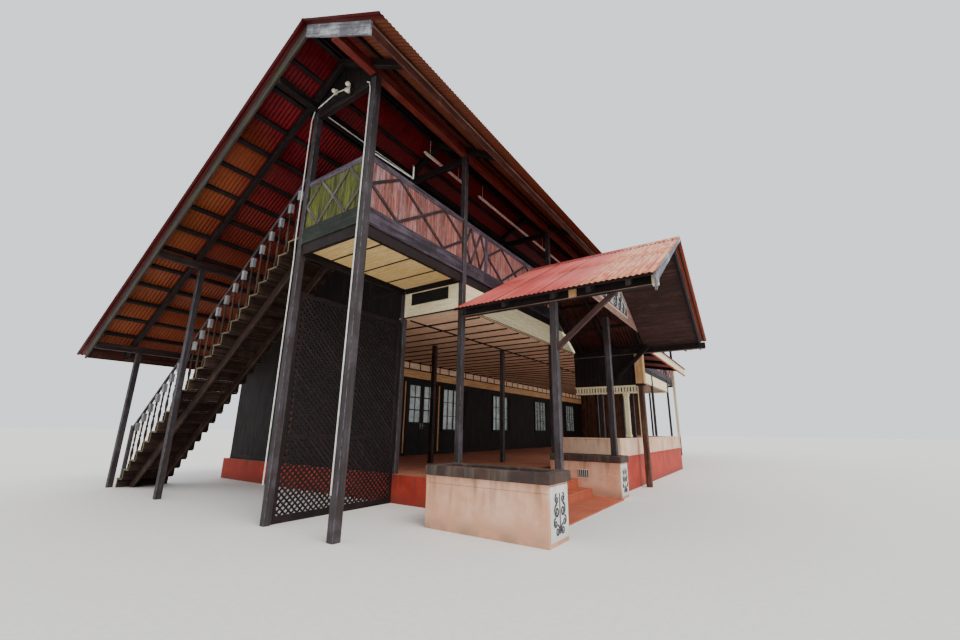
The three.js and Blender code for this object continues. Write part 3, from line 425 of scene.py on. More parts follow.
def porch_sheet():
    """Pink sheets with dark seams, weathered to a pale orange towards the front edge."""
    material = roof_sheet("porch_sheet", (190, 72, 68), (220, 112, 104), (206, 132, 92), 0.35, PORCH_DOWN)
    n, spacing, width = Nodes(material.node_tree), 0.94, 0.025
    y = n.house_place()["Y"]
    step = n.calc("FRACT", n.calc("DIVIDE", y, spacing))
    overlay(material, n.times(n.calc("LESS_THAN", step, width / spacing), 0.7), rgb(96, 34, 36))
    rub = n.noise(n.stretched(n.place(), PORCH_DOWN, 0.2), 11.0, 5.0)
    mask = n.times(n.spread(y, -2.3, -3.0), n.spread(rub, 0.42, 0.58, 0.25, 0.9))
    return overlay(material, mask, rgb(238, 172, 128))


def porch_under():
    """Underside of the porch sheets: dark as painted shade, but orange brown as painted bounce light in the
    strip before the barge boards.
    """
    # The dark sheet colours stand for painted shade behind the gable.
    material = roof_sheet("porch_under", (52, 28, 26), (84, 46, 36), (120, 66, 42), 0.5, PORCH_DOWN, 0.2)
    n = Nodes(material.node_tree)
    strip = n.spread(n.house_place()["Y"], PORCH_FRONT + 0.2, PORCH_FRONT + 0.16)
    # Painted bounce light: the orange brown strip before the barge boards.
    return overlay(material, strip, rgb(132, 62, 46))


def floor_tiles(nodes, size, first, second, joint, gap):
    """Colour of square tiles laid level."""
    inputs = {"Vector": nodes.place(), "Color1": rgb(*first), "Color2": rgb(*second), "Mortar": rgb(*joint),
              "Scale": 1.0, "Mortar Size": gap, "Brick Width": size, "Row Height": size}
    return nodes.put("TexBrick", inputs, offset=0.0)["Color"]


def red_masonry():
    """Red painted masonry with a tiled floor on top."""
    material = plaster("red_masonry", (150, 40, 28), (178, 62, 44), (84, 52, 42), FLOOR, 0.6)
    n = Nodes(material.node_tree)
    on_top = n.spread(n.house_place()["Z"], FLOOR - 0.006, FLOOR - 0.002)
    return overlay(material, on_top, floor_tiles(n, 0.3, (168, 108, 82), (150, 92, 70), (96, 84, 76), 0.004))


def terracotta():
    """Terracotta tiles with pale joints."""
    material = plaster("terracotta", (176, 84, 56), (198, 112, 82), (104, 72, 58), 0.6, 0.55)
    tiles = floor_tiles(Nodes(material.node_tree), 0.2, (188, 98, 68), (170, 82, 56), (150, 116, 98), 0.003)
    return overlay(material, 0.6, tiles)


def window_glass():
    """Clear glass with a faint film of dust."""
    material, n, surface = blank_finish("window_glass", Transmission_Weight=0.85, IOR=1.45)
    film = n.noise(n.place(), 3.0, 5.0)
    n.link(n.blend(n.spread(film, 0.3, 0.7), rgb(150, 162, 164), rgb(186, 194, 194)), surface["Base Color"])
    n.link(n.spread(film, 0.35, 0.7, 0.04, 0.22), surface["Roughness"])
    return material


@cache
def finish(build):
    """The material of a finish, built once."""
    return build()


# Shapes

def faces_of(verts):
    return list({f for v in verts for f in v.link_faces})


def new_verts(made):
    return [v for v in made["geom"] if isinstance(v, bmesh.types.BMVert)]


class Shape:
    """One piece in the making, in house measurements. Each face keeps its board's grain, tone and edge."""

    def __init__(self, name, slot="dark_timber", *replaced):
        self.name, self.slot_name, self.replaced = name, slot, replaced
        self.bm = bmesh.new()
        self.tone = self.bm.faces.layers.float.new("tone")
        self.edge = self.bm.faces.layers.float.new("edge")
        self.grain = self.bm.faces.layers.float_vector.new("grain")
        self.rib = self.bm.verts.layers.float.new("rib")
        self.finishes = []
        self.dice = random.Random(name)

    def finish_index(self, build):
        if build not in self.finishes:
            self.finishes.append(build)
        return self.finishes.index(build)

    def dress(self, verts, build, grain, bevel=0.0, smooth=False):
        tone = self.dice.random()
        for face in faces_of(verts):
            face[self.tone] = tone
            face[self.grain] = AXES[grain] if isinstance(grain, str) else grain
            face.material_index = self.finish_index(build)
            face.smooth = smooth
        if bevel:
            edges = list({e for v in verts for e in v.link_edges})
            made = bmesh.ops.bevel(self.bm, geom=edges, offset=bevel, offset_type="OFFSET", segments=1,
                                   profile=0.5, affect="EDGES", material=-1, clamp_overlap=True)
            for face in made["faces"]:
                face[self.edge] = 1.0

    def block(self, corner, opposite, build, grain, bevel=0.004):
        low, high = Vector(map(min, corner, opposite)), Vector(map(max, corner, opposite))
        matrix = Matrix.LocRotScale((low + high) / 2, None, high - low)
        self.dress(bmesh.ops.create_cube(self.bm, size=1.0, matrix=matrix)["verts"], build, grain, bevel)

    def post(self, x, y, half, z0, z1, build, bevel=0.008):
        self.block((x - half, y - half, z0), (x + half, y + half, z1), build, "Z", bevel)

    def beam(self, start, end, width, thick, side, build, bevel=0.003):
        """A straight piece from start to end, thick along its side direction and wide across it."""
        start, end, side = Vector(start), Vector(end), Vector(side)
        along = (end - start).normalized()
        side = (side - along * side.dot(along)).normalized()
        turn = Matrix((along * (end - start).length, along.cross(side) * width, side * thick)).transposed()
        matrix = Matrix.Translation((start + end) / 2) @ turn.to_4x4()
        self.dress(bmesh.ops.create_cube(self.bm, size=1.0, matrix=matrix)["verts"], build, along, bevel)

    def extrude(self, faces, vec):
        far = new_verts(bmesh.ops.extrude_face_region(self.bm, geom=faces))
        bmesh.ops.translate(self.bm, verts=far, vec=vec)
        return far

    def plank(self, axis, outline, start, end, build, grain, bevel=0.0):
        """An outline in the plane across an axis, drawn out along it from start to end."""
        across = [i for i in range(3) if "XYZ"[i] != axis]
        start, end = sorted((start, end))
        verts = []
        for a, b in outline:
            spot = AXES[axis] * start
            spot[across[0]], spot[across[1]] = a, b
            verts.append(self.bm.verts.new(spot))
        verts += self.extrude([self.bm.faces.new(verts)], AXES[axis] * (end - start))
        bmesh.ops.recalc_face_normals(self.bm, faces=faces_of(verts))
        self.dress(verts, build, grain, bevel)

    def rod(self, start, end, radius, build, sides=10, far_radius=None):
        start, end = Vector(start), Vector(end)
        turn = (end - start).to_track_quat("Z", "Y").to_matrix().to_4x4()
        made = bmesh.ops.create_cone(self.bm, cap_ends=True, segments=sides, radius1=radius,
                                     radius2=radius if far_radius is None else far_radius,
                                     depth=(end - start).length,
                                     matrix=Matrix.Translation((start + end) / 2) @ turn)
        self.dress(made["verts"], build, (end - start).normalized(), smooth=sides > 8)

    def pipe(self, points, radius, build, sides=8):
        """A run of straight rods with a ball at each bend."""
        for a, b in zip(points, points[1:]):
            self.rod(a, b, radius, build, sides)
        for spot in points[1:-1]:
            ball = bmesh.ops.create_icosphere(self.bm, subdivisions=1, radius=radius * 1.05,
                                              matrix=Matrix.Translation(spot))
            self.dress(ball["verts"], build, "Z", smooth=True)

    def turned(self, profile, foot, build, sides=8):
        """A turned piece that stands on foot: profile gives radius and height, from the bottom to the top."""
        foot = Vector(foot)
        verts = [self.bm.verts.new(foot + Vector((radius, 0, height))) for radius, height in profile]
        edges = [self.bm.edges.new(pair) for pair in zip(verts, verts[1:])]
        before = set(self.bm.verts) - set(verts)
        bmesh.ops.spin(self.bm, geom=verts + edges, cent=foot, axis=(0, 0, 1), angle=math.tau, steps=sides,
                       use_merge=True)
        ring = [v for v in self.bm.verts if v not in before]
        bmesh.ops.recalc_face_normals(self.bm, faces=faces_of(ring))
        self.dress(ring, build, "Z", smooth=True)

    def cloth(self, columns, rows, spot, build):
        """A grid whose points go to spot(vertex, u, v), with u and v from 0 to 1."""
        verts = bmesh.ops.create_grid(self.bm, x_segments=columns, y_segments=rows, size=0.5)["verts"]
        for vert in verts:
            vert.co = spot(vert, vert.co.x + 0.5, vert.co.y + 0.5)
        self.dress(verts, build, "Z", smooth=True)
        return verts

    def ribbed(self, lay, width, length, pitch, rise, sheet, course, build, under):
        """Overlapping corrugated sheets. lay(across, down, lift) gives the point on the roof."""
        lap, tuck, thick, faces = pitch * 1.5, 0.12, 0.0012, []
        for row in range(math.ceil(length / course - 0.01)):
            for column in range(math.ceil(width / sheet - 0.01)):
                u0, v0 = column * sheet, row * course
                u1, v1 = min(u0 + sheet + lap, width), min(v0 + course + tuck, length)

                def spot(vert, part, drop):
                    u = u0 + part * (u1 - u0)
                    wave = 0.5 + 0.5 * math.cos(math.tau * u / pitch)
                    # The wave also drives the painted shade in the valleys between ribs.
                    vert[self.rib] = wave
                    return lay(u, v0 + drop * (v1 - v0), rise * wave + 0.0012 * part + 0.0016 * (1 - drop))

                faces += faces_of(self.cloth(max(2, round((u1 - u0) / pitch * 6)), 1, spot, build))
        self.bm.normal_update()
        bmesh.ops.reverse_faces(self.bm, faces=[f for f in faces if f.normal.z < 0])
        bmesh.ops.solidify(self.bm, geom=faces, thickness=thick)
        self.bm.normal_update()
        for face in self.bm.faces:
            if face.normal.z < -0.2:
                face.material_index = self.finish_index(under)

    def arc(self, centre, radius, start, turn, width, wide_end, depth, build):
        """A flat curved band across Y, whose width changes from width to wide_end."""
        centre, steps = Vector(centre), max(4, round(abs(turn) / 0.28))
        rows = []
        for k in range(steps + 1):
            angle = start + turn * k / steps
            out = Vector((math.cos(angle), 0, math.sin(angle)))
            half = (width + (wide_end - width) * k / steps) / 2
            rows.append([self.bm.verts.new(centre + out * (radius + s * half)) for s in (-1, 1)])
        bands = [self.bm.edges.new(row) for row in rows]
        faces = [bmesh.ops.bridge_loops(self.bm, edges=[a, b])["faces"][0] for a, b in zip(bands, bands[1:])]
        verts = [v for row in rows for v in row] + self.extrude(faces, AXES["Y"] * depth)
        bmesh.ops.recalc_face_normals(self.bm, faces=faces_of(verts))
        self.dress(verts, build, "Z")

    def scroll(self, centre, size, facing, depth):
        """A curl of three arcs that wind inwards."""
        start, turn, radius, spot = math.pi / 2, -facing * math.pi, size, Vector(centre)
        for width in (0.42, 0.38, 0.32):
            self.arc(spot, radius, start, turn, width * size, width * size * 0.85, depth, motif_grey)
            start, smaller = start + turn, radius * 0.62
            spot = spot + Vector((math.cos(start), 0, math.sin(start))) * (radius - smaller)
            radius = smaller

    def done(self, body="house"):
        bmesh.ops.translate(self.bm, verts=self.bm.verts, vec=HOME)
        mesh = bpy.data.meshes.new(self.name)
        self.bm.to_mesh(mesh)
        self.bm.free()
        for build in self.finishes:
            mesh.materials.append(finish(build))
        piece = bpy.data.objects.new(self.name, mesh)
        bpy.context.collection.objects.link(piece)
        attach(piece, body)
        if self.replaced:
            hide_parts(*self.replaced)


def dressed(node, slot="dark_timber", ending="dressed"):
    """The piece that takes the place of a CAD node."""
    return Shape(f"{node}_{ending}", slot, node)


def cad_finish(build, *nodes):
    """CAD nodes that are shown as they are, with a new finish."""
    for name in nodes:
        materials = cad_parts[name].data.materials
        materials.clear()
        materials.append(finish(build))


# Main roof

def roof_covering():
    """Corrugated sheets in courses on both slopes, and the folded cap over the ridge."""
    from_ridge, rib_pitch, rib_rise, sheet, course = 0.004, 0.0754, 0.0165, 0.754, 2.175
    for name, edge, side in (("front", FRONT_EDGE, -1), ("rear", REAR_EDGE, 1)):
        def lay(across, down, lift):
            y = RIDGE_Y + side * (from_ridge + down)
            return Vector((EDGE_INSET - VERGE + across, y, roof_z(y) + lift * ALONG))

        shape = dressed(f"roof_sheets_{name}", "red_roof_sheet", "ribbed")
        shape.ribbed(lay, LENGTH + 2 * (VERGE - EDGE_INSET), abs(edge - RIDGE_Y) - from_ridge - EDGE_INSET,
                     rib_pitch, rib_rise, sheet, course, main_sheet, main_under)
        shape.done()
    cap, wing, thick, count = dressed("ridge_cap", "ridge_metal", "folded"), 0.22, 0.005, 10
    part = (LENGTH + 2 * VERGE) / count
    for k in range(count):
        x0, lift = -VERGE + k * part, SHEET_LIFT + 0.0015 * (k % 2)
        roll = [(RIDGE_Y + 0.03 * math.sin(a), RIDGE_Z + lift - 0.01 + 0.02 * math.cos(a))
                for a in (-1.4, -0.8, -0.3, 0.3, 0.8, 1.4)]
        edge = [(RIDGE_Y + out, roof_z(RIDGE_Y + out) + lift) for out in (-wing, -0.04, 0.04, wing)]
        outline = [(edge[0][0], edge[0][1] - thick), *edge[:2], *roll, *edge[2:],
                   (edge[3][0], edge[3][1] - thick), (RIDGE_Y, RIDGE_Z + lift - thick)]
        cap.plank("X", outline, x0 - (0.08 if k else -EDGE_INSET), x0 + part - EDGE_INSET, ridge_metal, "X")
    cap.done()


def roof_timbers():
    """Rafters, purlins, eave boards and barge boards of both slopes."""
    reach, thick, half_purlin = 0.85, 0.03, 0.03
    slopes = (("front", -0.86, RIDGE_Y - 0.0003, -0.88, -0.555, white_barge),
              ("rear", RIDGE_Y + 0.0003, 9.2697, 9.27, 0.555, mossy_barge))
    for name, y0, y1, eave, step, barge in slopes:
        shape = Shape(f"roof_timbers_{name}", "dark_timber", f"roof_frame_{name}")
        down = Vector((0, 1, math.copysign(SLOPE, -step))).normalized()
        for x in [-END_RAFTER, *POST_LINES[1:-1], LENGTH + END_RAFTER]:
            shape.plank("X", band(roof_z, y0, y1, 0.0565, 0.1988), x - 0.05, x + 0.05, dark_timber, down,
                        0.004)
        for k in range(int(abs((y0 if step < 0 else y1) - RIDGE_Y) / abs(step) - 0.1) + 1):
            y = RIDGE_Y + (k * step or math.copysign(0.06, step))
            shape.plank("X", band(roof_z, y - half_purlin, y + half_purlin, 0.0003, PURLIN * ALONG),
                        -reach - 0.002, LENGTH + reach + 0.002, dark_timber, "X", 0.003)
        top = min(roof_z(eave), roof_z(eave + thick)) - 0.0003
        board = shape if step < 0 else dressed("rear_eave_board")
        board.block((-reach, eave, top - 0.26), (LENGTH + reach, eave + thick, top), eave_board, "X")
        if step < 0:
            shape.block((-reach, eave - 0.012, top - 0.1), (LENGTH + reach, eave + 0.002, top - 0.06),
                        pale_strip, "X", 0.003)
        else:
            board.done()
        for x in (-BARGE, LENGTH + BARGE - 0.04):
            outline = band(roof_z, min(y0, eave), max(y1, eave + thick), 0.003, 0.28)
            shape.plank("X", outline, x, x + 0.04, barge, down, 0.004)
        shape.done()


# Gallery

def front_place(u, depth, z):
    return Vector((u, depth, z))


def left_place(u, depth, z):
    return Vector((depth, u, z))


def right_place(u, depth, z):
    return Vector((LENGTH - depth, u, z))


def crossed_battens(shape, spot, u0, width, build):
    """Two zigzags of thin battens that mirror each other."""
    middle, rise = 5.53, 0.43
    out = spot(0, 1, 0) - spot(0, 0, 0)
    for side, depth in ((1, 0.039), (-1, 0.037)):
        shares = ((0, 0), (0.25, side), (0.75, -side), (1, 0))
        bends = [spot(u0 + share * width, depth, middle + lift * rise) for share, lift in shares]
        for a, b in zip(bends, bends[1:]):
            shape.beam(a, b, 0.056, 0.02, out, build)


def balustrade(shape, spot, u0, u1, axis, boards, fascia, battens, modules):
    """Boards between rails, with battens before them, over the edge of the gallery floor."""
    board_low, board_high = UPPER_FLOOR + 0.03, RAIL_TOP - 0.07

    def strip(d0, d1, z0, z1, build, bevel=0.004, a=u0, b=u1, grain=axis):
        shape.block(spot(a, d0, z0), spot(b, d1, z1), build, grain, bevel)

    strip(0.02, 0.09, FASCIA_LOW, UPPER_FLOOR, fascia, 0.006)
    strip(0.012, 0.05, FASCIA_LOW - 0.012, FASCIA_LOW + 0.03, fascia)
    strip(0.04, 0.118, BEAM_LOW, FASCIA_LOW + 0.002, dark_timber, 0.006)
    strip(0.015, 0.105, RAIL_TOP - 0.065, RAIL_TOP, rail_timber, 0.008)
    strip(0.03, 0.085, RAIL_TOP - 0.1, RAIL_TOP - 0.062, rail_timber)
    strip(0.03, 0.085, UPPER_FLOOR, UPPER_FLOOR + 0.035, fascia)
    count = round((u1 - u0) / 0.1)
    step = (u1 - u0) / count
    for k in range(count):
        lean = shape.dice.uniform(-0.001, 0.001)
        strip(0.049 + lean, 0.069 + lean, board_low, board_high, boards, 0.0025, u0 + k * step + 0.0015,
              u0 + (k + 1) * step - 0.0015, "Z")
    start = u0
    for kind, width in modules:
        if kind == "stile":
            strip(0.026, 0.05, board_low, board_high, rail_timber, 0.004, start, start + width, "Z")
        else:
            crossed_battens(shape, spot, start, width, battens)
        start += width


FRONT_LOOK, END_LOOK = (front_boards, front_fascia, batten_timber), (end_boards, end_fascia, end_batten)


def corner_frame(node, spot, x, side):
    """Posts of one end with their tie, balustrade and gable boards. The right end has its front bay too."""
    shape = dressed(node)
    shape.block((x, 0, 0), (x + side * CORNER_POST, CORNER_POST, PLATE_LOW), post_timber, "Z", 0.008)
    shape.block((x + side * 0.01, GALLERY - POST, 0), (x + side * 0.13, GALLERY, PLATE_LOW), post_timber, "Z",
                0.008)
    shape.block((x + side * 0.02, CORNER_POST, PLATE_LOW - 0.16),
                (x + side * 0.12, GALLERY - POST, PLATE_LOW), dark_timber, "Y", 0.006)
    balustrade(shape, spot, CORNER_POST, GALLERY - POST, "Y", *END_LOOK,
               [("cross", GALLERY - POST - CORNER_POST)])
    count = 16
    for k in range(count):
        y0, y1 = GALLERY * k / count + 0.001, GALLERY * (k + 1) / count - 0.001
        for a, b in ((y0, min(y1, RIDGE_Y)), (max(y0, RIDGE_Y), y1)):
            if b - a > 0.004:
                shape.plank("X", under_roof(a, b, PLATE_LOW - 0.05, 0.06), x, x + side * 0.0195, wall_boards,
                            "Z", 0.002)
    if side < 0:
        u0 = LENGTH - CORNER_BAY + POST / 2
        balustrade(shape, front_place, u0, LENGTH - CORNER_POST, "X", *FRONT_LOOK,
                   [("cross", LENGTH - CORNER_POST - u0)])
    shape.done()


def front_bays():
    """Balustrade of each bay of the front, with the posts, beam and tie at its right end."""
    last, stile, cross = len(POST_LINES) - 2, ("stile", 0.1), ("cross", 0.78)
    for k in range(1, last + 1):
        shape = dressed(f"front_bay_{k}")
        u0 = POST_LINES[k - 1] + (CORNER_POST if k == 1 else POST) / 2
        left, right = POST_LINES[k] - POST / 2, POST_LINES[k] + POST / 2
        modules = [cross, stile, ("cross", left - u0 - 2 * (0.78 + 0.1)), stile, cross]
        balustrade(shape, front_place, u0, left, "X", *FRONT_LOOK,
                   [("cross", left - u0)] if k == 1 else modules)
        shape.block((left, 0, FLOOR), (right, POST, PLATE_LOW), post_timber, "Z", 0.008)
        shape.block((left, GALLERY - POST, FLOOR), (right, GALLERY, DECK_LOW), post_timber, "Z", 0.008)
        for low, high, bevel in ((BEAM_LOW, DECK_LOW, 0.004), (PLATE_LOW - 0.16, PLATE_LOW, 0.006)):
            shape.block((left + 0.01, POST, low), (right - 0.01, GALLERY - POST, high), dark_timber, "Y",
                        bevel)
        for end, x0, x1 in ((1, 0.13, left), (last, right, LENGTH - 0.13)):
            if k == end:
                shape.block((x0, 1.71, BEAM_LOW), (x1, 1.79, DECK_LOW), dark_timber, "X")
        shape.done()


def gallery_soffit():
    """Tan panels with dark battens under the corner bays of the gallery."""
    shape = Shape("gallery_soffit", "floor_boards")
    y0, y1, top = 0.12, 1.705, 4.678
    for x0, x1 in ((0.125, 2.765), (LENGTH - 2.765, LENGTH - 0.125)):
        shape.block((x0, y0, 4.676), (x1, y1, 4.689), tan_panel, "Y", 0)
        for share in (0.21, 0.49, 0.77):
            x = x0 + share * (x1 - x0)
            shape.block((x - 0.02, y0, 4.668), (x + 0.02, y1, top), dark_timber, "Y", 0.002)
        for y in (y0, 1.66):
            shape.block((x0, y, 4.66), (x1, y + 0.045, top), dark_timber, "X", 0.002)
        for x in (x0, x1 - 0.05):
            shape.block((x, y0, 4.66), (x + 0.05, y1, top), dark_timber, "Y", 0.002)
    shape.done()


# Walls

def boarded(shape, axis, u0, u1, d0, d1, z0, z1, holes, build, width=0.16):
    """Upright boards side by side along an axis, cut short at the holes."""
    spot = front_place if axis == "X" else left_place
    count = max(1, round((u1 - u0) / width))
    step = (u1 - u0) / count
    for k in range(count):
        a, b = u0 + k * step, u0 + (k + 1) * step
        spans = [(z0, z1)]
        for left, low, right, high in holes:
            if a < right and b > left:
                cut = [s for p, q in spans for s in ((p, min(q, low)), (max(p, high), q))]
                spans = [(p, q) for p, q in cut if q - p > 0.02]
        for p, q in spans:
            lean = shape.dice.uniform(-0.0012, 0.0012)
            shape.block(spot(a + 0.001, d0 + lean, p), spot(b - 0.001, d1 + lean, q), build, "Z", 0.003)


def wall_core(shape, x0, x1, y0, y1, z0, z1, holes):
    """Plain wall behind the boards, in blocks around the window holes."""
    edge = x0
    for left, low, right, high in sorted(holes):
        for a, b, c, d in ((edge, left, z0, z1), (left, right, z0, low), (left, right, high, z1)):
            shape.block((a, y0, c), (b, y1, d), wall_boards, "Z", 0)
        edge = right
    shape.block((edge, y0, z0), (x1, y1, z1), wall_boards, "Z", 0)


def bay_windows(first, last, width, low, high):
    middles = [POST_LINES[k] + BAY / 2 for k in range(first, last + 1)]
    return [(x - width / 2, low, x + width / 2, high) for x in middles]


HALL_SILL, HALL_HEAD = FLOOR + 0.9, DOOR_TOP - 0.1
UPPER_WINDOWS = bay_windows(1, MIDDLE_BAYS, 1.5, UPPER_FLOOR + 0.9, UPPER_FLOOR + 2.15)
REAR_WINDOWS = bay_windows(1, MIDDLE_BAYS, 1.2, FLOOR + 0.95, FLOOR + 2.15)
HALL_LEFT_WINDOWS = bay_windows(1, 1, 1.5, HALL_SILL, HALL_HEAD)
HALL_RIGHT_WINDOWS = [(9.5, HALL_SILL, 11.0, HALL_HEAD),
                      *bay_windows(3, MIDDLE_BAYS, 1.5, HALL_SILL, HALL_HEAD)]


def window_frames(shape, holes, face, out, columns, rows):
    """Casing, sill and glazing bars of windows in a wall along X; out is -1 where the front is outside."""
    depth = 0.055
    proud, sill, back, inner = (face + out * reach for reach in (0.02, 0.06, -depth, 0.03 - depth))
    for left, low, right, high in holes:
        def piece(x0, z0, x1, z1, grain, bevel=0.004, outer=proud):
            shape.block((x0, outer, z0), (x1, back, z1), dark_timber, grain, bevel)

        piece(left - 0.06, low - 0.05, left + 0.035, high + 0.06, "Z")
        piece(right - 0.035, low - 0.05, right + 0.06, high + 0.06, "Z")
        piece(left + 0.035, high - 0.035, right - 0.035, high + 0.06, "X")
        piece(left - 0.09, low - 0.06, right + 0.09, low - 0.01, "X", 0.006, sill)
        piece(left + 0.035, low - 0.01, right - 0.035, low + 0.035, "X")
        for k in range(1, columns):
            x, wide = left + (right - left) * k / columns, 0.03 if k * 2 == columns else 0.012
            piece(x - wide, low + 0.03, x + wide, high - 0.03, "Z", 0.002, inner)
        for k in range(1, rows):
            z = low + (high - low) * k / rows
            piece(left + 0.03, z - 0.011, right - 0.03, z + 0.011, "X", 0.002, inner)


def upper_front():
    """Wall behind the gallery with its posts, the plate over them and the guards of the corner bays."""
    shape = dressed("upper_front_wall")
    x0, x1 = CORNER_BAY - POST / 2, LENGTH - CORNER_BAY + POST / 2
    top = PLATE_LOW + 0.02
    wall_core(shape, x0, x1, GALLERY + 0.02, GALLERY + WALL, UPPER_FLOOR, top, UPPER_WINDOWS)
    boarded(shape, "X", x0, x1, GALLERY + 0.001, GALLERY + 0.024, UPPER_FLOOR + 0.12, top, UPPER_WINDOWS,
            wall_boards)
    shape.block((x0, GALLERY - 0.008, UPPER_FLOOR), (x1, GALLERY + 0.03, UPPER_FLOOR + 0.12), dark_timber,
                "X")
    window_frames(shape, UPPER_WINDOWS, GALLERY, -1, 4, 2)
    for x in POST_LINES[1:-1]:
        shape.block((x - POST / 2, GALLERY - POST, UPPER_FLOOR), (x + POST / 2, GALLERY + 0.02, PLATE_LOW),
                    post_timber, "Z", 0.008)
    shape.block((-0.85, GALLERY - 0.14, PLATE_LOW), (LENGTH + 0.85, GALLERY, PLATE_LOW + PLATE_DEPTH),
                dark_timber, "X", 0.006)
    for a, b in ((1.29, 2.78), (LENGTH - 2.78, LENGTH - 0.13)):
        shape.block((a, 1.735, UPPER_FLOOR + 0.03), (b, 1.757, RAIL_TOP - 0.07), wall_boards, "Z", 0.002)
        shape.block((a, 1.71, RAIL_TOP - 0.075), (b, 1.79, RAIL_TOP), rail_timber, "X", 0.008)
        shape.block((a, 1.71, UPPER_FLOOR), (b, 1.79, UPPER_FLOOR + 0.062), dark_timber, "X")
    shape.done()


def end_walls():
    """Boards outside the plain CAD end walls, up to the slope, parted at the hall wall."""
    count, y0, y1 = 44, GALLERY + WALL + 0.001, DEPTH - 0.141
    for name, outer, side in (("left", BODY_LEFT, -1), ("right", BODY_RIGHT, 1)):
        shape = Shape(f"end_wall_{name}_boards")
        near, low = outer + side * 0.0005, FLOOR + 0.1
        for k in range(count):
            a, b = y0 + (y1 - y0) * k / count + 0.001, y0 + (y1 - y0) * (k + 1) / count - 0.001
            if a < HALL_Y + 0.07 and b > HALL_Y - 0.07:
                a, b = (a, HALL_Y - 0.062) if a < HALL_Y - 0.08 else (HALL_Y + 0.062, b)
            if b - a >= 0.01:
                shape.plank("X", under_roof(a, b, low, PURLIN * ALONG + 0.012), near, outer + side * 0.018,
                            wall_boards, "Z", 0.0025)
        far = outer + side * 0.03
        shape.block((near, y0, FLOOR), (far, y1, FLOOR + 0.12), dark_timber, "Y")
        for z in (3.3, CEILING, DECK_LOW):
            shape.block((near, y0, z), (far, y1 if z < 3.4 else HALL_Y, z + 0.1), dark_timber, "Y")
        shape.done()


def rear_wall():
    shape, outer, span = dressed("rear_wall"), DEPTH - 0.04, (BODY_LEFT, BODY_RIGHT)
    wall_core(shape, *span, outer - WALL, outer - 0.02, FLOOR, REAR_PLATE_LOW, REAR_WINDOWS)
    boarded(shape, "X", *span, outer - 0.024, outer - 0.001, FLOOR + 0.12, REAR_PLATE_LOW - 0.001,
            REAR_WINDOWS, wall_boards)
    shape.block((span[0], outer - 0.03, FLOOR), (span[1], outer + 0.008, FLOOR + 0.12), dark_timber, "X")
    window_frames(shape, REAR_WINDOWS, outer, 1, 2, 3)
    shape.done()


def hall_walls():
    """Boarded wall between the veranda and the rooms, with its windows and the frieze over them."""
    y0, left, right = HALL_Y - 0.03, BODY_LEFT + 0.06, BODY_RIGHT - 0.06
    for name, x0, x1, holes in (("left", left, DOOR_LEFT, HALL_LEFT_WINDOWS),
                                ("right", DOOR_RIGHT, right, HALL_RIGHT_WINDOWS)):
        shape = dressed(f"hall_wall_{name}")
        wall_core(shape, x0, x1, y0 + 0.02, HALL_Y + 0.03, FLOOR, MIDDLE_PLATE_LOW, holes)
        boarded(shape, "X", x0, x1, y0 + 0.001, y0 + 0.024, FLOOR + 0.12, CEILING, holes, wall_boards)
        shape.block((x0, y0 - 0.01, FLOOR), (x1, y0 + 0.03, FLOOR + 0.12), dark_timber, "X")
        window_frames(shape, holes, y0, -1, 4, 3)
        shape.done()
    shape = Shape("veranda_frieze")
    shape.block((left, y0 - 0.012, 3.36), (right, y0, 3.66), tan_head, "X", 0.002)
    shape.block((left, y0 - 0.008, 3.70), (right, y0, CEILING), ceiling_board, "X", 0.002)
    for z in (3.66, 3.93):
        shape.block((left, y0 - 0.035, z), (right, y0 - 0.005, z + 0.045), dark_timber, "X")
    for k in range(37):
        x = left + 0.25 + k * 0.6
        shape.block((x, y0 - 0.03, 3.70), (x + 0.035, y0 - 0.008, 3.935), dark_timber, "Z", 0.002)
    shape.block((left, y0 - 0.04, 3.24), (right, y0, 3.37), dark_timber, "X")
    shape.done()


def over_door():
    """Wall over the entrance, and the casing beside the leaves."""
    shape = dressed("hall_wall_over_door")
    shape.block((DOOR_LEFT, HALL_Y - 0.028, DOOR_TOP + 0.001), (DOOR_RIGHT, HALL_Y + 0.03, MIDDLE_PLATE_LOW),
                wall_boards, "X")
    shape.done()
    shape = Shape("door_casing")
    for x in (DOOR_LEFT - 0.1, DOOR_RIGHT + 0.005):
        shape.block((x, HALL_Y - 0.06, FLOOR), (x + 0.095, HALL_Y - 0.02, DOOR_TOP + 0.05), dark_timber, "Z")
    for x in (DOOR_LEFT - 0.2, 9.2):
        shape.block((x, HALL_Y - 0.05, FLOOR + 0.1), (x + 0.06, HALL_Y - 0.028, 3.2), tan_head, "Z")
    shape.done()


def window_curtains():
    """White curtains in soft folds behind the hall windows."""
    shape = Shape("hall_curtains", "window_glass")
    for left, low, right, high in HALL_LEFT_WINDOWS + HALL_RIGHT_WINDOWS:
        def hang(_, u, v):
            fold = 0.012 * math.sin(u * 62) + 0.006 * math.sin(u * 23 + v)
            return Vector((left - 0.02 + u * (right - left + 0.04), HALL_Y + 0.075 + fold,
                           low - 0.05 + v * (high - low + 0.1)))

        shape.cloth(60, 4, hang, white_curtain)
    shape.done()


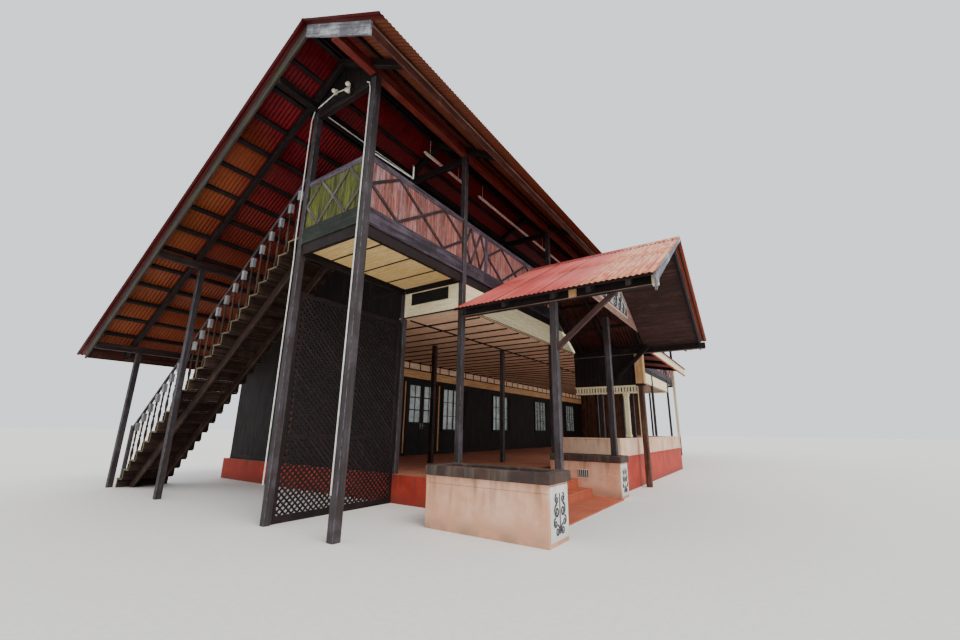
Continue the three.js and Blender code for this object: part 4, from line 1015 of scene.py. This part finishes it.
def door_leaf(node, x0, x1, body, side):
    """Glazed leaf with bars, curtained panes, a panel below, pins at one side and a handle at the other."""
    shape = dressed(node, "door_paint")
    y1 = HALL_Y + 0.025
    y0 = y1 - 0.045
    low, high = FLOOR + 0.01, DOOR_TOP - 0.005
    stile, rows, glass_low = 0.11, 3, low + 1.15
    left, right, middle, glass_high = x0 + stile, x1 - stile, (x0 + x1) / 2, high - stile
    panel_low, panel_high = low + 0.18, glass_low - 0.1
    for a, b in ((x0, left), (right, x1)):
        shape.block((a, y0, low), (b, y1, high), door_paint, "Z")
    for a, b in ((low, panel_low), (panel_high, glass_low + 0.02), (glass_high - 0.02, high)):
        shape.block((left, y0, a), (right, y1, b), door_paint, "X")
    shape.block((left, y0 + 0.018, panel_low), (right, y1 - 0.018, panel_high), door_paint, "Z")
    shape.block((left + 0.05, y0 + 0.006, panel_low + 0.05), (right - 0.05, y1 - 0.006, panel_high - 0.05),
                door_paint, "Z", 0.01)
    shape.block((middle - 0.02, y0 + 0.004, glass_low), (middle + 0.02, y1 - 0.004, glass_high), door_paint,
                "Z")
    for row in range(1, rows):
        z = glass_low + row * (glass_high - glass_low) / rows
        shape.block((left, y0 + 0.006, z - 0.02), (right, y1 - 0.006, z + 0.02), door_paint, "X")
    for near, far, build in ((0.02, 0.024, white_curtain), (0.015, 0.0185, window_glass)):
        shape.block((left, y0 + near, glass_low), (right, y0 + far, glass_high), build, "Z", 0)
    pin_x, handle_x = (x0, x1 - 0.055) if side > 0 else (x1, x0 + 0.055)
    for z in (low + 0.15, (low + high) / 2 - 0.05, high - 0.25):
        shape.rod((pin_x, y1, z), (pin_x, y1, z + 0.1), 0.0045, door_metal, 12)
    shape.block((handle_x - 0.02, y0 - 0.004, low + 0.93), (handle_x + 0.02, y0 + 0.001, low + 1.13),
                door_metal, "Z", 0.002)
    bends = ((handle_x, y0), (handle_x, y0 - 0.045), (handle_x - side * 0.1, y0 - 0.045))
    shape.pipe([(x, y, low + 1.05) for x, y in bends], 0.008, door_metal, 10)
    shape.done(body)


# Veranda

def veranda():
    """Ceiling of wide boards and battens, header panels between the posts, a blank sign on the end one."""
    shape = dressed("veranda_ceiling", "ceiling_boards")
    x0, x1, back = BODY_LEFT + 0.061, BODY_RIGHT - 0.061, HALL_Y - 0.031
    count = round((x1 - x0) / 0.62)
    step = (x1 - x0) / count
    for k in range(count):
        shape.block((x0 + k * step + 0.013, 0.02, CEILING), (x0 + (k + 1) * step - 0.013, back, 4.009),
                    ceiling_board, "Y", 0.002)
    shape.block((x0, 0.02, CEILING + 0.012), (x1, back, CEILING + 0.03), dark_timber, "Y", 0)
    for x in (x0 - 0.16, x1):
        shape.block((x, 0.02, CEILING), (x + 0.16, GALLERY + 0.04, 4.009), ceiling_board, "Y", 0.002)
    for k in range(1, count):
        x = x0 + k * step
        shape.block((x - 0.015, 0.1, CEILING - 0.028), (x + 0.015, HALL_Y - 0.04, CEILING + 0.002),
                    dark_timber, "Y", 0.002)
    shape.block((x0, 1.635, CEILING - 0.034), (x1, 1.665, CEILING + 0.002), dark_timber, "X", 0.002)
    for x, side in ((CORNER_BAY - 0.045, 1), (LENGTH - CORNER_BAY + 0.045, -1)):
        shape.block((x, POST, CEILING), (x + side * 0.025, GALLERY - POST, BEAM_LOW), cream_paint, "Y", 0.002)
        near, far = x - side * 0.012, x + side * 0.002
        shape.block((near, POST, CEILING - 0.012), (far, GALLERY - POST, CEILING + 0.02), dark_timber, "Y",
                    0.002)
        for y in (POST + 0.005, GALLERY - POST - 0.05):
            shape.block((near, y, CEILING + 0.02), (far, y + 0.045, BEAM_LOW), cream_paint, "Z", 0.003)
    for left, right in zip(POST_LINES[1:-2], POST_LINES[2:-1]):
        a, b = left + POST / 2, right - POST / 2
        shape.block((a, 0.05, CEILING), (b, 0.075, BEAM_LOW), cream_paint, "X", 0.002)
        shape.block((a, 0.042, CEILING - 0.012), (b, 0.052, CEILING + 0.02), dark_timber, "X", 0.002)
    shape.done()
    sign = Shape("house_signboard")
    sign.block((2.762, 0.40, 4.265), (2.784, 1.47, 4.53), sign_paint, "Y", 0.003)
    for z in (4.262, 4.522):
        sign.block((2.757, 0.395, z), (2.784, 1.475, z + 0.012), dark_timber, "Y", 0.002)
    sign.done()


# Stair

STAIR_LEFT, STAIR_RIGHT, STAIR_TOP_Y, STAIR_HEAD_Y = 0.15, 1.25, 1.8103, 2.37
TREADS, GOING = 21, 0.3
RISE = UPPER_FLOOR / (TREADS + 1)
STAIR_SLOPE = RISE / GOING
STAIR_FOOT_Y = STAIR_HEAD_Y + TREADS * GOING
STAIR_GRAIN = Vector((0, 1, -STAIR_SLOPE)).normalized()
HAND_RAIL, BLOCK_TOP, BLOCK_LOW, SQUARE_FOOT = 1.10, 0.11, 0.31, 0.12
# Radius and share of the height of the turned part
BALUSTER = [(0.018, 0.0), (0.029, 0.03), (0.029, 0.07), (0.017, 0.1), (0.022, 0.2), (0.033, 0.32),
            (0.027, 0.42), (0.016, 0.52), (0.027, 0.55), (0.027, 0.59), (0.016, 0.62), (0.024, 0.74),
            (0.018, 0.88), (0.028, 0.92), (0.028, 0.96), (0.02, 1.0)]


def tread_z(k):
    return UPPER_FLOOR - (k + 1) * RISE


def rail_z(y):
    return UPPER_FLOOR + HAND_RAIL - STAIR_SLOPE * (y - STAIR_HEAD_Y)


def carriage_z(y):
    return tread_z(0) - 0.004 - STAIR_SLOPE * (y - STAIR_HEAD_Y)


def stair_flight():
    """A landing, treads and risers with pale ends, on two carriages set in from the ends."""
    shape = dressed("stair_flight")
    depth, lap, low = 0.23, 0.036, DECK_LOW + 0.01
    foot, turn_y = STAIR_HEAD_Y + carriage_z(STAIR_HEAD_Y) / STAIR_SLOPE, STAIR_HEAD_Y - lap
    low_y = STAIR_HEAD_Y - (low + depth - carriage_z(STAIR_HEAD_Y)) / STAIR_SLOPE
    outline = [(STAIR_TOP_Y, UPPER_FLOOR - lap), (turn_y, UPPER_FLOOR - lap), (turn_y, carriage_z(turn_y)),
               (foot, 0), (foot - depth / STAIR_SLOPE, 0), (low_y, low), (STAIR_TOP_Y, low)]
    for x in (STAIR_LEFT + 0.25, STAIR_RIGHT - 0.295):
        shape.plank("X", outline, x, x + 0.045, stair_timber, STAIR_GRAIN, 0.004)
    levels = [(STAIR_TOP_Y, STAIR_HEAD_Y, UPPER_FLOOR)]
    levels += [(STAIR_HEAD_Y + k * GOING, STAIR_HEAD_Y + (k + 1) * GOING, tread_z(k)) for k in range(TREADS)]
    for y0, y1, z in levels:
        below = max(z - RISE, 0.0)
        shape.block((STAIR_LEFT, y0, z - 0.035), (STAIR_RIGHT, y1 + 0.02, z), stair_timber, "X", 0.005)
        shape.block((STAIR_LEFT + 0.002, y1 - 0.033, below), (STAIR_RIGHT - 0.002, y1 - 0.002, z - 0.03),
                    stair_timber, "X", 0.002)
        for x in (STAIR_LEFT - 0.004, STAIR_RIGHT - 0.003):
            shape.block((x, y0 + 0.004, z - 0.032), (x + 0.007, y1 + 0.018, z - 0.003), pale_edge, "Y", 0.001)
            shape.block((x, y1 - 0.032, below + 0.001), (x + 0.007, y1 - 0.004, z - 0.03), pale_edge, "Z",
                        0.001)
    shape.done()


def baluster(shape, x, y, foot):
    """A square foot, a turned part and a pale square block under the rail."""
    low, top = foot + SQUARE_FOOT, rail_z(y)
    high = top - BLOCK_LOW
    shape.post(x, y, 0.026, foot, low, stair_timber, 0.004)
    shape.turned([(radius, low - foot + share * (high - low)) for radius, share in BALUSTER], (x, y, foot),
                 stair_timber)
    shape.post(x, y, 0.042, high, top - BLOCK_TOP, baluster_block)
    shape.rod((x, y, top - BLOCK_TOP), (x, y, top - 0.06), 0.02, stair_timber, 8)


def stair_balustrades():
    """Sloping rails over turned balusters, with a newel at the foot."""
    for side, x in (("outer", STAIR_LEFT + 0.045), ("inner", STAIR_RIGHT - 0.045)):
        shape = dressed(f"stair_balustrade_{side}", ending="turned")
        for upper, lower, half, build in ((0.0, 0.05, 0.03, post_timber), (0.045, 0.078, 0.02, dark_timber)):
            outline = band(rail_z, STAIR_TOP_Y + 0.02, STAIR_FOOT_Y - 0.12, upper, lower)
            shape.plank("X", outline, x - half, x + half, build, STAIR_GRAIN, 0.008)
        for y in (1.94, 2.24):
            baluster(shape, x, y, UPPER_FLOOR)
        for k in range(TREADS - 1):
            baluster(shape, x, STAIR_HEAD_Y + (k + 0.5) * GOING, tread_z(k))
        y = STAIR_FOOT_Y - GOING / 2
        shape.post(x, y, 0.04, RISE, rail_z(y) + 0.06, post_timber)
        shape.done()


def lattice():
    """Fine diamond lattice in a frame, between the left end of the gallery and the body."""
    shape = dressed("lattice_screen", ending="fine")
    x0, x1, y0, y1, z1 = 0.131, 2.759, 1.74, 1.77, 3.9
    for x in (x0, x1 - 0.09):
        shape.block((x, y0, 0), (x + 0.09, y1, z1), dark_timber, "Z")
    for a, b in ((0, 0.12), (z1 - 0.09, z1), (1.3, 1.37)):
        shape.block((x0 + 0.08, y0 + 0.002, a), (x1 - 0.08, y1 - 0.002, b), dark_timber, "X")
    left, right, low, high = x0 + 0.07, x1 - 0.07, 0.1, z1 - 0.07
    pitch, width, thick = 0.105, 0.03, 0.01
    for lean, y in ((1, y0 + 0.008), (-1, y0 + 0.020)):
        near = left if lean > 0 else right
        for k in range(1, int((right - left + high - low) / pitch) + 1):
            shift = k * pitch
            ends = [(x, low + shift - abs(x - near)) for x in (left, right)]
            ends = [(x, z) for x, z in ends if low <= z <= high]
            crossings = [(near + lean * (shift - (z - low)), z) for z in (low, high)]
            ends += [(x, z) for x, z in crossings if left < x < right]
            if len(ends) >= 2:
                a, b = (Vector((x, y, z)) for x, z in ends[:2])
                if (a - b).length > 0.05:
                    shape.beam(a, b, width, thick, (0, 1, 0), dark_timber, 0)
    shape.done()


def end_posts():
    for side, x in (("left", 0.01), ("right", LENGTH - 0.13)):
        for name, y, top in (("rear", HALL_Y - 0.06, MIDDLE_PLATE_LOW),
                             ("eave", DEPTH - 0.13, REAR_PLATE_LOW)):
            shape = dressed(f"{name}_post_{side}")
            shape.block((x, y, 0), (x + POST, y + POST, top), post_timber, "Z", 0.008)
            shape.done()


# Porch

def porch_roof():
    """Corrugated sheets on both slopes of the porch, and the cap over its ridge, with dark strips under the
    cap's edges as painted shade.
    """
    from_ridge, low, wing = 0.003, 0.0235 * PORCH_ALONG, 0.165
    for name, side, reach in (("left", -1, PORCH_X - PORCH_LEFT), ("right", 1, PORCH_RIGHT - PORCH_X)):
        def lay(across, down, lift):
            x = PORCH_X + side * (from_ridge + down)
            return Vector((x, PORCH_FRONT + EDGE_INSET + across, porch_z(x) + lift * PORCH_ALONG))

        shape = dressed(f"porch_sheets_{name}", "pink_roof_sheet", "ribbed")
        shape.ribbed(lay, -PORCH_FRONT - 2 * EDGE_INSET, reach - from_ridge, 0.0936, 0.0165, 0.936, 1.75,
                     porch_sheet, porch_under)
        shape.done()
    cap = dressed("porch_ridge_cap", "pink_roof_sheet", "folded")
    edge = [(PORCH_X + out, porch_z(PORCH_X + out) + low) for out in (-wing, -0.03, 0.03, wing)]
    top = PORCH_Z + low + 0.018
    outline = [(edge[0][0], edge[0][1] - 0.008), *edge[:2], (PORCH_X - 0.012, top), (PORCH_X + 0.012, top),
               *edge[2:], (edge[3][0], edge[3][1] - 0.008), (PORCH_X, PORCH_Z + low - 0.006)]
    cap.plank("Y", outline, PORCH_FRONT + EDGE_INSET, -0.0003, porch_sheet, "Y")
    # Dark strips under the cap's edges: painted shade in the gaps over the ribs.
    for side in (-1, 1):
        x0, x1 = sorted((PORCH_X + side * (wing - 0.012), PORCH_X + side * (wing + 0.012)))
        cap.plank("Y", band(porch_z, x0, x1, -0.012, 0.0), PORCH_FRONT + 0.01, -0.001, grille_and_painted_shade, "Y")
    cap.done()


def porch_timbers():
    """Rafter pairs, a pale barge board on the left and a shaded one on the right, purlins and plates."""
    shape = dressed("porch_frame")
    back, face, back_set = -0.0003, PORCH_FRONT + 0.04, 0.16
    for side, eave in ((-1, PORCH_LEFT + 0.02), (1, PORCH_RIGHT - 0.02)):
        grain = Vector((1, 0, -side * PORCH_SLOPE)).normalized()
        x0, x1 = sorted((eave, PORCH_X))
        for y in (-3.5, -2.85, -2.1997, -1.2, -0.3):
            shape.plank("Y", band(porch_z, x0, x1, 0.045, 0.15), y, y + 0.07, dark_timber, grain, 0.004)
        if side < 0:
            outline = [(eave, porch_z(eave) - 0.003), (PORCH_X, PORCH_Z - 0.003), (PORCH_X, PORCH_Z - 0.07),
                       (eave + 0.24, porch_z(eave + 0.24) - 0.18), (eave, porch_z(eave) - 0.3)]
            shape.plank("Y", outline, PORCH_FRONT, face, white_barge, grain, 0.004)
            continue
        for lower, start, end, build, bevel in ((0.25, back_set, 0.04 + back_set, shaded_barge, 0.004),
                                                (0.03, back_set - 0.012, back_set, pale_strip, 0.003),
                                                (0.018, 0.07, 0.09, dark_timber, 0.003)):
            shape.plank("Y", band(porch_z, x0, x1, 0.003, lower), PORCH_FRONT + start, PORCH_FRONT + end,
                        build, grain, bevel)
    insets = (0.06, 0.95, 1.85, 2.7)
    for x in [PORCH_LEFT + i for i in insets] + [PORCH_X - 0.06,
                                                 PORCH_X + 0.06] + [PORCH_RIGHT - i for i in insets]:
        start = face if x < PORCH_X else face + back_set
        shape.plank("Y", band(porch_z, x - 0.025, x + 0.025, 0.0003, 0.048), start, back, dark_timber, "Y",
                    0.003)
    shape.done()
    for name, x, tip in (("left", 2.77, cream_paint), ("right", 9.0, dark_timber)):
        shape = dressed(f"porch_plate_{name}")
        shape.block((x, face + 0.09, 3.79), (x + 0.12, back, 3.96), dark_timber, "Y", 0.006)
        shape.block((x, face, 3.79), (x + 0.12, face + 0.091, 3.96), tip, "X")
        shape.block((x - 0.006, face + 0.09, 3.788), (x + 0.006, back, 3.802), pale_strip, "Y", 0.002)
        if name == "left":
            shape.block((x - 0.035, -2.51, 3.8), (x + 0.01, -2.37, 3.94), tan_head, "X")
        shape.done()


def porch_soffit():
    """Boards under the rafters of the porch's right slope, before the gable board."""
    shape = Shape("porch_soffit_boards")
    x, end = PORCH_X + 0.08, PORCH_RIGHT - 0.08
    while x < end:
        outline = band(porch_z, x, min(x + 0.128, end), 0.151, 0.163)
        shape.plank("Y", outline, PORCH_FRONT + 0.2, -2.24, porch_boards, "Y", 0.002)
        x += 0.131
    shape.done()


def porch_gable():
    """Gable board with a wide border and a white panel with a scroll motif between red stripes."""
    shape = dressed("porch_gable_board", "gable_paint")
    low, under, face, drop, half = 4.33, 0.06, -2.24, 0.17, 1.38
    wide, top, panel_low = (PORCH_Z - under - low) / PORCH_SLOPE, PORCH_Z - under - drop, low + 0.15
    corner_z = top - PORCH_SLOPE * half
    outline = [(PORCH_X - wide, low), (PORCH_X + wide, low), (PORCH_X, PORCH_Z - under)]
    shape.plank("Y", outline, face + 0.012, -2.2, gable_border, "X", 0.003)
    panel = [(PORCH_X - half, panel_low), (PORCH_X + half, panel_low), (PORCH_X + half, corner_z),
             (PORCH_X, top), (PORCH_X - half, corner_z)]
    shape.plank("Y", panel, face + 0.004, face + 0.013, gable_white, "X", 0.001)
    reach, stripe_low = half - 0.06, panel_low + 0.05

    def stripe(*points):
        for (xa, za), (xb, zb) in zip(points, points[1:]):
            shape.beam((xa, face + 0.003, za), (xb, face + 0.003, zb), 0.03, 0.006, (0, 1, 0), motif_red, 0)

    def curl(x, z, size, side):
        shape.scroll((PORCH_X + side * x, face - 0.002, z), size, side, 0.006)

    for side in (-1, 1):
        x = PORCH_X + side * reach
        stripe((x, stripe_low), (x, corner_z - 0.06), (PORCH_X, top - 0.08))
        for x, size, up in ((0.24, 0.15, 0.08), (0.62, 0.12, 0.08), (0.96, 0.1, 0.08), (1.2, 0.07, 0.06),
                            (0.44, 0.1, 0.4), (0.78, 0.08, 0.34)):
            z = panel_low + up + size
            curl(x, z, size, side)
            shape.arc((PORCH_X + side * (x - size * 0.2), face - 0.002, z), size * 1.5,
                      math.pi / 2 - side * 0.1, -side * 1.3, 0.3 * size, 0.5 * size, 0.006, motif_grey)
    for z, size in ((4.86, 0.09), (5.08, 0.1), (5.32, 0.07)):
        for side in (-1, 1):
            curl(size + 0.015, z, size, side)
    stripe((PORCH_X - reach, stripe_low), (PORCH_X + reach, stripe_low))
    shape.done()


def porch_posts():
    """Two posts with raking struts under the plates, and the pillar on the right planter."""
    left, right, y, top = 2.83, 9.06, -2.04, 3.79
    shape = dressed("porch_post_left")
    shape.post(left, y, 0.06, 0.0253, top, post_timber)
    shape.post(left, y, 0.09, 0.0253, 0.2, post_timber, 0.01)
    strut = [(y - 0.05, 2.87), (y - 0.05, 3.0), (y - 1.05, top), (y - 1.18, top)]
    shape.plank("X", strut, left - 0.034, left + 0.034, porch_boards, Vector((0, -1, 0.8)).normalized(),
                0.006)
    shape.done()
    shape = dressed("porch_post_right")
    shape.post(right, y, 0.075, 0, 2.9, brown_post, 0.01)
    shape.post(right, y, 0.12, 2.85, top, tan_head)
    shape.block((right - 0.13, y - 0.13, 2.83), (right + 0.13, y + 0.13, 2.89), dark_timber, "X", 0.008)
    strut = [(-1.36, 3.145), (-2.316, 4.005), (-2.396, 3.915), (-1.44, 3.055)]
    shape.plank("X", strut, right - 0.2, right - 0.118, dark_timber, Vector((0, -1, 0.9)).normalized(), 0.006)
    shape.done()
    shape = dressed("porch_pillar")
    shape.block((6.49, -1.93, 0.6803), (6.63, -1.79, 4.39), post_timber, "Z", 0.008)
    shape.done()


def side_screen():
    """Boards over a slatted cream frieze, with a cream column under it, at the porch's right side."""
    shape = dressed("porch_side_screen", "gable_paint")
    x, y0, y1, foot = 9.03, -1.9197, -0.0003, 1.3303
    boarded(shape, "Y", y0, y1, x, x + 0.03, 2.86, 3.79, [], dark_timber, 0.14)
    for z in (2.81, 2.62):
        shape.block((x - 0.015, y0, z), (x + 0.045, y1, z + 0.05), cream_paint, "Y")
    y = y0 + 0.04
    while y < y1 - 0.06:
        shape.block((x, y, 2.668), (x + 0.03, y + 0.045, 2.812), cream_paint, "Z", 0.003)
        y += 0.09
    shape.block((x - 0.05, -1.65, foot), (x + 0.08, -1.52, 2.622), cream_paint, "Z", 0.01)
    for z0, z1 in ((foot, 1.42), (2.54, 2.62)):
        shape.block((x - 0.065, -1.665, z0), (x + 0.095, -1.505, z1), cream_paint, "Z", 0.01)
    shape.done()


# Masonry

def planter(node, x0, x1, y0, y1):
    """Trough with peach sides, a pale end with a scroll motif, a dark cap and soil in it."""
    shape = dressed(node, "cream_plaster")
    top, cap, rim, out, seam = 0.94, 0.15, 0.11, 0.045, 0.01
    low, middle = top - 0.26, (x0 + x1) / 2
    for a, b, c, d in ((x0, y0, x0 + rim, y1), (x1 - rim, y0, x1, y1), (x0 + rim, y0, x1 - rim, y0 + rim),
                       (x0 + rim, y1 - rim, x1 - rim, y1)):
        shape.block((a, b, low - 0.01), (c, d, top - cap + 0.002), peach_plaster, "Z", 0)
    shape.block((x0, y0, 0), (x1, y1, low), peach_plaster, "Z", 0.006)
    for a, b, c, d in ((x0 - out, y0 - out, x0 + rim, y1), (x1 - rim, y0 - out, x1 + out, y1),
                       (x0 + rim - seam, y0 - out, x1 - rim + seam, y0 + rim),
                       (x0 + rim - seam, y1 - rim, x1 - rim + seam, y1)):
        shape.block((a, b, top - cap), (c, d, top), brown_cap, "Z", 0.012)
    shape.block((x0 + 0.03, y0 - 0.012, 0.06), (x1 - 0.03, y0 + 0.002, top - cap - 0.03), pale_plaster, "Z")
    for side in (-1, 1):
        for reach, z, size in ((0.1, 0.6, 0.055), (0.1, 0.45, 0.075), (0.15, 0.3, 0.055), (0.09, 0.2, 0.06)):
            shape.scroll((middle + side * reach, y0 - 0.018, z), size, side if z > 0.25 else -side, 0.007)
    shape.block((middle - 0.012, y0 - 0.018, 0.14), (middle + 0.012, y0 - 0.011, 0.66), motif_grey, "Z", 0)
    shape.done()
    soil = Shape(f"{node}_soil", "cream_plaster")

    def heap(_, u, v):
        bump = 0.012 * math.sin(u * 9 + v * 23) + 0.01 * math.sin(v * 61 + u * 5)
        bump += soil.dice.uniform(-0.008, 0.008)
        return Vector((x0 + rim + u * (x1 - x0 - 2 * rim), y0 + rim + v * (y1 - y0 - 2 * rim),
                       top - 0.12 + bump))

    soil.cloth(14, 50, heap, potting_soil)
    soil.done()


def vent_grille():
    """Small grille in the left face of the right planter."""
    shape, x = Shape("planter_vent", "cream_plaster"), 6.27
    shape.block((x - 0.006, -1.28, 0.42), (x + 0.002, -1.02, 0.60), grille_and_painted_shade, "Z", 0.002)
    for k in range(5):
        y = -1.255 + k * 0.05
        shape.block((x - 0.012, y, 0.425), (x - 0.004, y + 0.014, 0.595), pale_plaster, "Z", 0.001)
    for z in (0.41, 0.595):
        shape.block((x - 0.014, -1.29, z), (x, -1.01, z + 0.014), pale_plaster, "Y", 0.002)
    shape.done()


def terrace():
    """Terrace wall: red dado with a cream parapet, a rail at the change of paint, piers and a coping."""
    shape = dressed("terrace_wall", "cream_plaster")
    left, right, front, thick, back, dado = 7.3, 16.3, -1.8, 0.12, -0.0603, 0.85
    for a, b, c, d in ((left, front, right, front + thick), (left, front + thick, left + thick, back),
                       (right - thick, front + thick, right, back)):
        shape.block((a, b, FLOOR), (c, d, dado), red_dado, "X", 0)
        shape.block((a, b, dado), (c, d, 1.29), cream_plaster, "X", 0)
        shape.block((a - 0.01, b - 0.01, 1.28), (c + 0.01, d, 1.33), cream_plaster, "X", 0.01)
    shape.block((left, front, 0), (right, back, FLOOR), red_dado, "X")
    for k in range(6):
        x = left + 0.06 + k * (right - left - 0.24) / 5
        shape.block((x, front - 0.015, 0.86), (x + 0.12, front + 0.002, 1.28), cream_plaster, "Z", 0.006)
    shape.block((left - 0.008, front - 0.012, 0.83), (right + 0.008, front + 0.002, 0.87), red_dado, "X",
                0.006)
    shape.done()


def step_nosings():
    """Rounded tiles along the edges of the porch steps."""
    shape = Shape("porch_step_nosings", "terracotta")
    for y, z in ((-0.66, 0.57), (-1.01, 0.38), (-1.36, 0.19)):
        shape.block((2.155, y - 0.012, z - 0.03), (6.27, y + 0.05, z + 0.004), terracotta, "X", 0.008)
    shape.done()


# Canopy over the terrace

def canopy():
    """Corrugated sheets over a cream fascia, rafters and two posts."""
    x0, x1, front, z0, z1, back = 9.9, 16.7, -2.3, 4.23, 4.64, -0.0003
    rise = (z1 - z0) / -front

    def lay(across, down, lift):
        return Vector((x0 + across, front + down, z0 + rise * down + lift))

    shape = dressed("canopy_sheets", "canopy_sheet", "ribbed")
    shape.ribbed(lay, x1 - x0, back - front, 0.0756, 0.016, 0.756, 2.4, canopy_sheet, canopy_sheet)
    shape.done()
    shape = dressed("canopy_frame", "gable_paint")
    shape.block((x0 + 0.06, front + 0.06, z0 - 0.28), (x1 - 0.06, front + 0.095, z0 + 0.008), cream_paint,
                "X")
    shape.block((x0 + 0.055, front + 0.045, z0 - 0.3), (x1 - 0.055, front + 0.1, z0 - 0.26), motif_red, "X")
    outline = band(lambda y: z0 + rise * (y - front), front + 0.07, back, 0.0003, 0.1203)
    for k in range(4):
        x = x0 + 0.06 + k * (x1 - x0 - 0.22) / 3
        shape.plank("X", outline, x, x + 0.1, dark_timber, "Y", 0.004)
    for x in (x0 + 0.09, x1 - 0.19):
        shape.block((x, -1.79, 1.3303), (x + 0.09, -1.7, z0 - 0.02), cream_paint, "Z", 0.008)
    shape.done()


# Lamps and conduits

def electrics():
    """Conduits up the two left posts, small lamps on the gable boards and tubes over the gallery."""
    shape, out = Shape("gallery_conduits", "gable_paint"), -0.012
    shape.pipe([(out, 0.115, 0.6), (out, 0.115, 7.42), (out, 0.15, 7.56), (out, 0.21, 7.6)], 0.011,
               white_conduit)
    shape.pipe([(out, 1.825, 0.6), (out, 1.825, 4.5), (out, 1.85, 4.9), (out, 1.85, 7.5), (out, 1.78, 7.72),
                (out, 1.14, 7.84), (out, 0.71, 7.74)], 0.011, white_conduit)
    shape.pipe([(0.06, 1.655, 7.69), (2.74, 1.655, 7.69), (2.74, 1.655, 8.05)], 0.012, white_conduit)
    shape.pipe([(0.14, 0.06, 6.14), (1.15, 0.06, 6.19), (1.15, 0.06, 6.45)], 0.012, white_conduit)
    shape.done()
    lamps = Shape("gable_floodlights", "gable_paint")
    lamps.block((-0.05, 1.08, 7.79), (-0.001, 1.16, 7.88), lamp_housing, "Z", 0.012)
    lamps.rod((-0.05, 1.12, 7.82), (-0.1, 1.08, 7.79), 0.03, lamp_housing, 14, 0.042)
    lamps.rod((-0.02, 0.71, 7.6), (-0.02, 0.71, 7.82), 0.01, lamp_housing)
    for z in (7.62, 7.76):
        lamps.rod((-0.02, 0.71, z), (-0.1, 0.67, z - 0.02), 0.03, lamp_housing, 14, 0.048)
        lamps.rod((-0.1, 0.67, z - 0.02), (-0.104, 0.668, z - 0.021), 0.045, lamp_glass, 14)
    lamps.done()
    tubes = Shape("gallery_tubes", "gable_paint")
    starts = [2.42] + [x + 1.92 for x in POST_LINES[1:MIDDLE_BAYS + 1] if x + 1.92 <= 24]
    for k, x0 in enumerate(starts):
        x1 = min(x0 + 4.4, 25.0) if k else 3.98
        tubes.block((x0, 0.96, 7.965), (x1, 1.02, 7.995), lamp_housing, "X")
        tubes.rod((x0 + 0.03, 0.99, 7.945), (x1 - 0.03, 0.99, 7.945), 0.018, pink_tube)
        for x in (x0 + 0.2, x1 - 0.2):
            tubes.rod((x, 0.99, 7.99), (x, 0.99, 8.42), 0.006, lamp_housing, 6)
    tubes.done()


# Stage, light and camera

def add_object(name, data):
    made = bpy.data.objects.new(name, data)
    bpy.context.collection.objects.link(made)
    return made


def studio():
    """A plain pale floor, an even sky and one soft sun."""
    floor = bpy.data.meshes.new("studio_floor")
    bm = bmesh.new()
    bmesh.ops.create_grid(bm, x_segments=1, y_segments=1, size=220)
    bm.to_mesh(floor)
    bm.free()
    floor.materials.append(finish(studio_pale))
    add_object("studio_floor", floor)
    world = bpy.data.worlds.new("studio_sky")
    bpy.context.scene.world = world
    world.use_nodes = True
    sky = world.node_tree.nodes["Background"].inputs
    sky["Color"].default_value = (0.93, 0.96, 1.0, 1.0)
    sky["Strength"].default_value = 1.3
    sun = bpy.data.lights.new("soft_key", "SUN")
    sun.energy, sun.angle, sun.color = 2.0, math.radians(35), (1.0, 0.96, 0.9)
    add_object("soft_key", sun).rotation_euler = Vector((0.25, 0.75, -0.9)).to_track_quat("-Z",
                                                                                          "Y").to_euler()


CAMERA_SPOT = Vector((-3.965, -5.0, 1.5))
YAW, PITCH, ROLL = (math.radians(a) for a in (34.04, 14.84, 0.73))


def aim_camera():
    """The view of the photograph."""
    view = bpy.data.cameras.new("photo_camera")
    view.lens, view.sensor_width, view.clip_end = 15.54, 36.0, 600
    ahead = Vector((math.cos(PITCH) * math.cos(YAW), math.cos(PITCH) * math.sin(YAW), math.sin(PITCH)))
    across = Vector((math.sin(YAW), -math.cos(YAW), 0))
    up = across.cross(ahead)
    right = math.cos(ROLL) * across + math.sin(ROLL) * up
    up = -math.sin(ROLL) * across + math.cos(ROLL) * up
    turn = Matrix((right, up, -ahead)).transposed().to_4x4()
    bpy.context.scene.camera = add_object("photo_camera", view)
    bpy.context.scene.camera.matrix_world = Matrix.Translation(HOME + CAMERA_SPOT) @ turn


def build_house():
    roof_covering()
    roof_timbers()
    corner_frame("corner_frame_left", left_place, 0.0, 1)
    corner_frame("corner_frame_right", right_place, LENGTH, -1)
    for build in (front_bays, gallery_soffit, upper_front, end_walls, rear_wall, hall_walls, over_door,
                  window_curtains):
        build()
    middle = (DOOR_LEFT + DOOR_RIGHT) / 2
    door_leaf("entrance_door_left", DOOR_LEFT + 0.005, middle - 0.005, "door_leaf_left", 1)
    door_leaf("entrance_door_right", middle + 0.005, DOOR_RIGHT - 0.005, "door_leaf_right", -1)
    for build in (veranda, stair_flight, stair_balustrades, lattice, end_posts, porch_roof, porch_timbers,
                  porch_soffit, porch_gable, porch_posts, side_screen):
        build()
    planter("planter_left", 1.5, 2.155, -2.45, -0.3)
    planter("planter_right", 6.2703, 6.85, -2.05, -0.3)
    for build in (vent_grille, terrace, step_nosings, canopy, electrics):
        build()
    cad_finish(red_masonry, "ground_floor_base")
    cad_finish(terracotta, "porch_steps")
    cad_finish(red_plate, "front_eave_plate")
    cad_finish(plate_timber, "middle_plate", "rear_plate", "veranda_post")
    cad_finish(deck_boards, "upper_floor", "end_wall_left", "end_wall_right")
    cad_finish(window_glass, "upper_window_glass", "hall_window_glass_left", "hall_window_glass_right",
               "rear_window_glass")


aim_camera()
build_house()
studio()
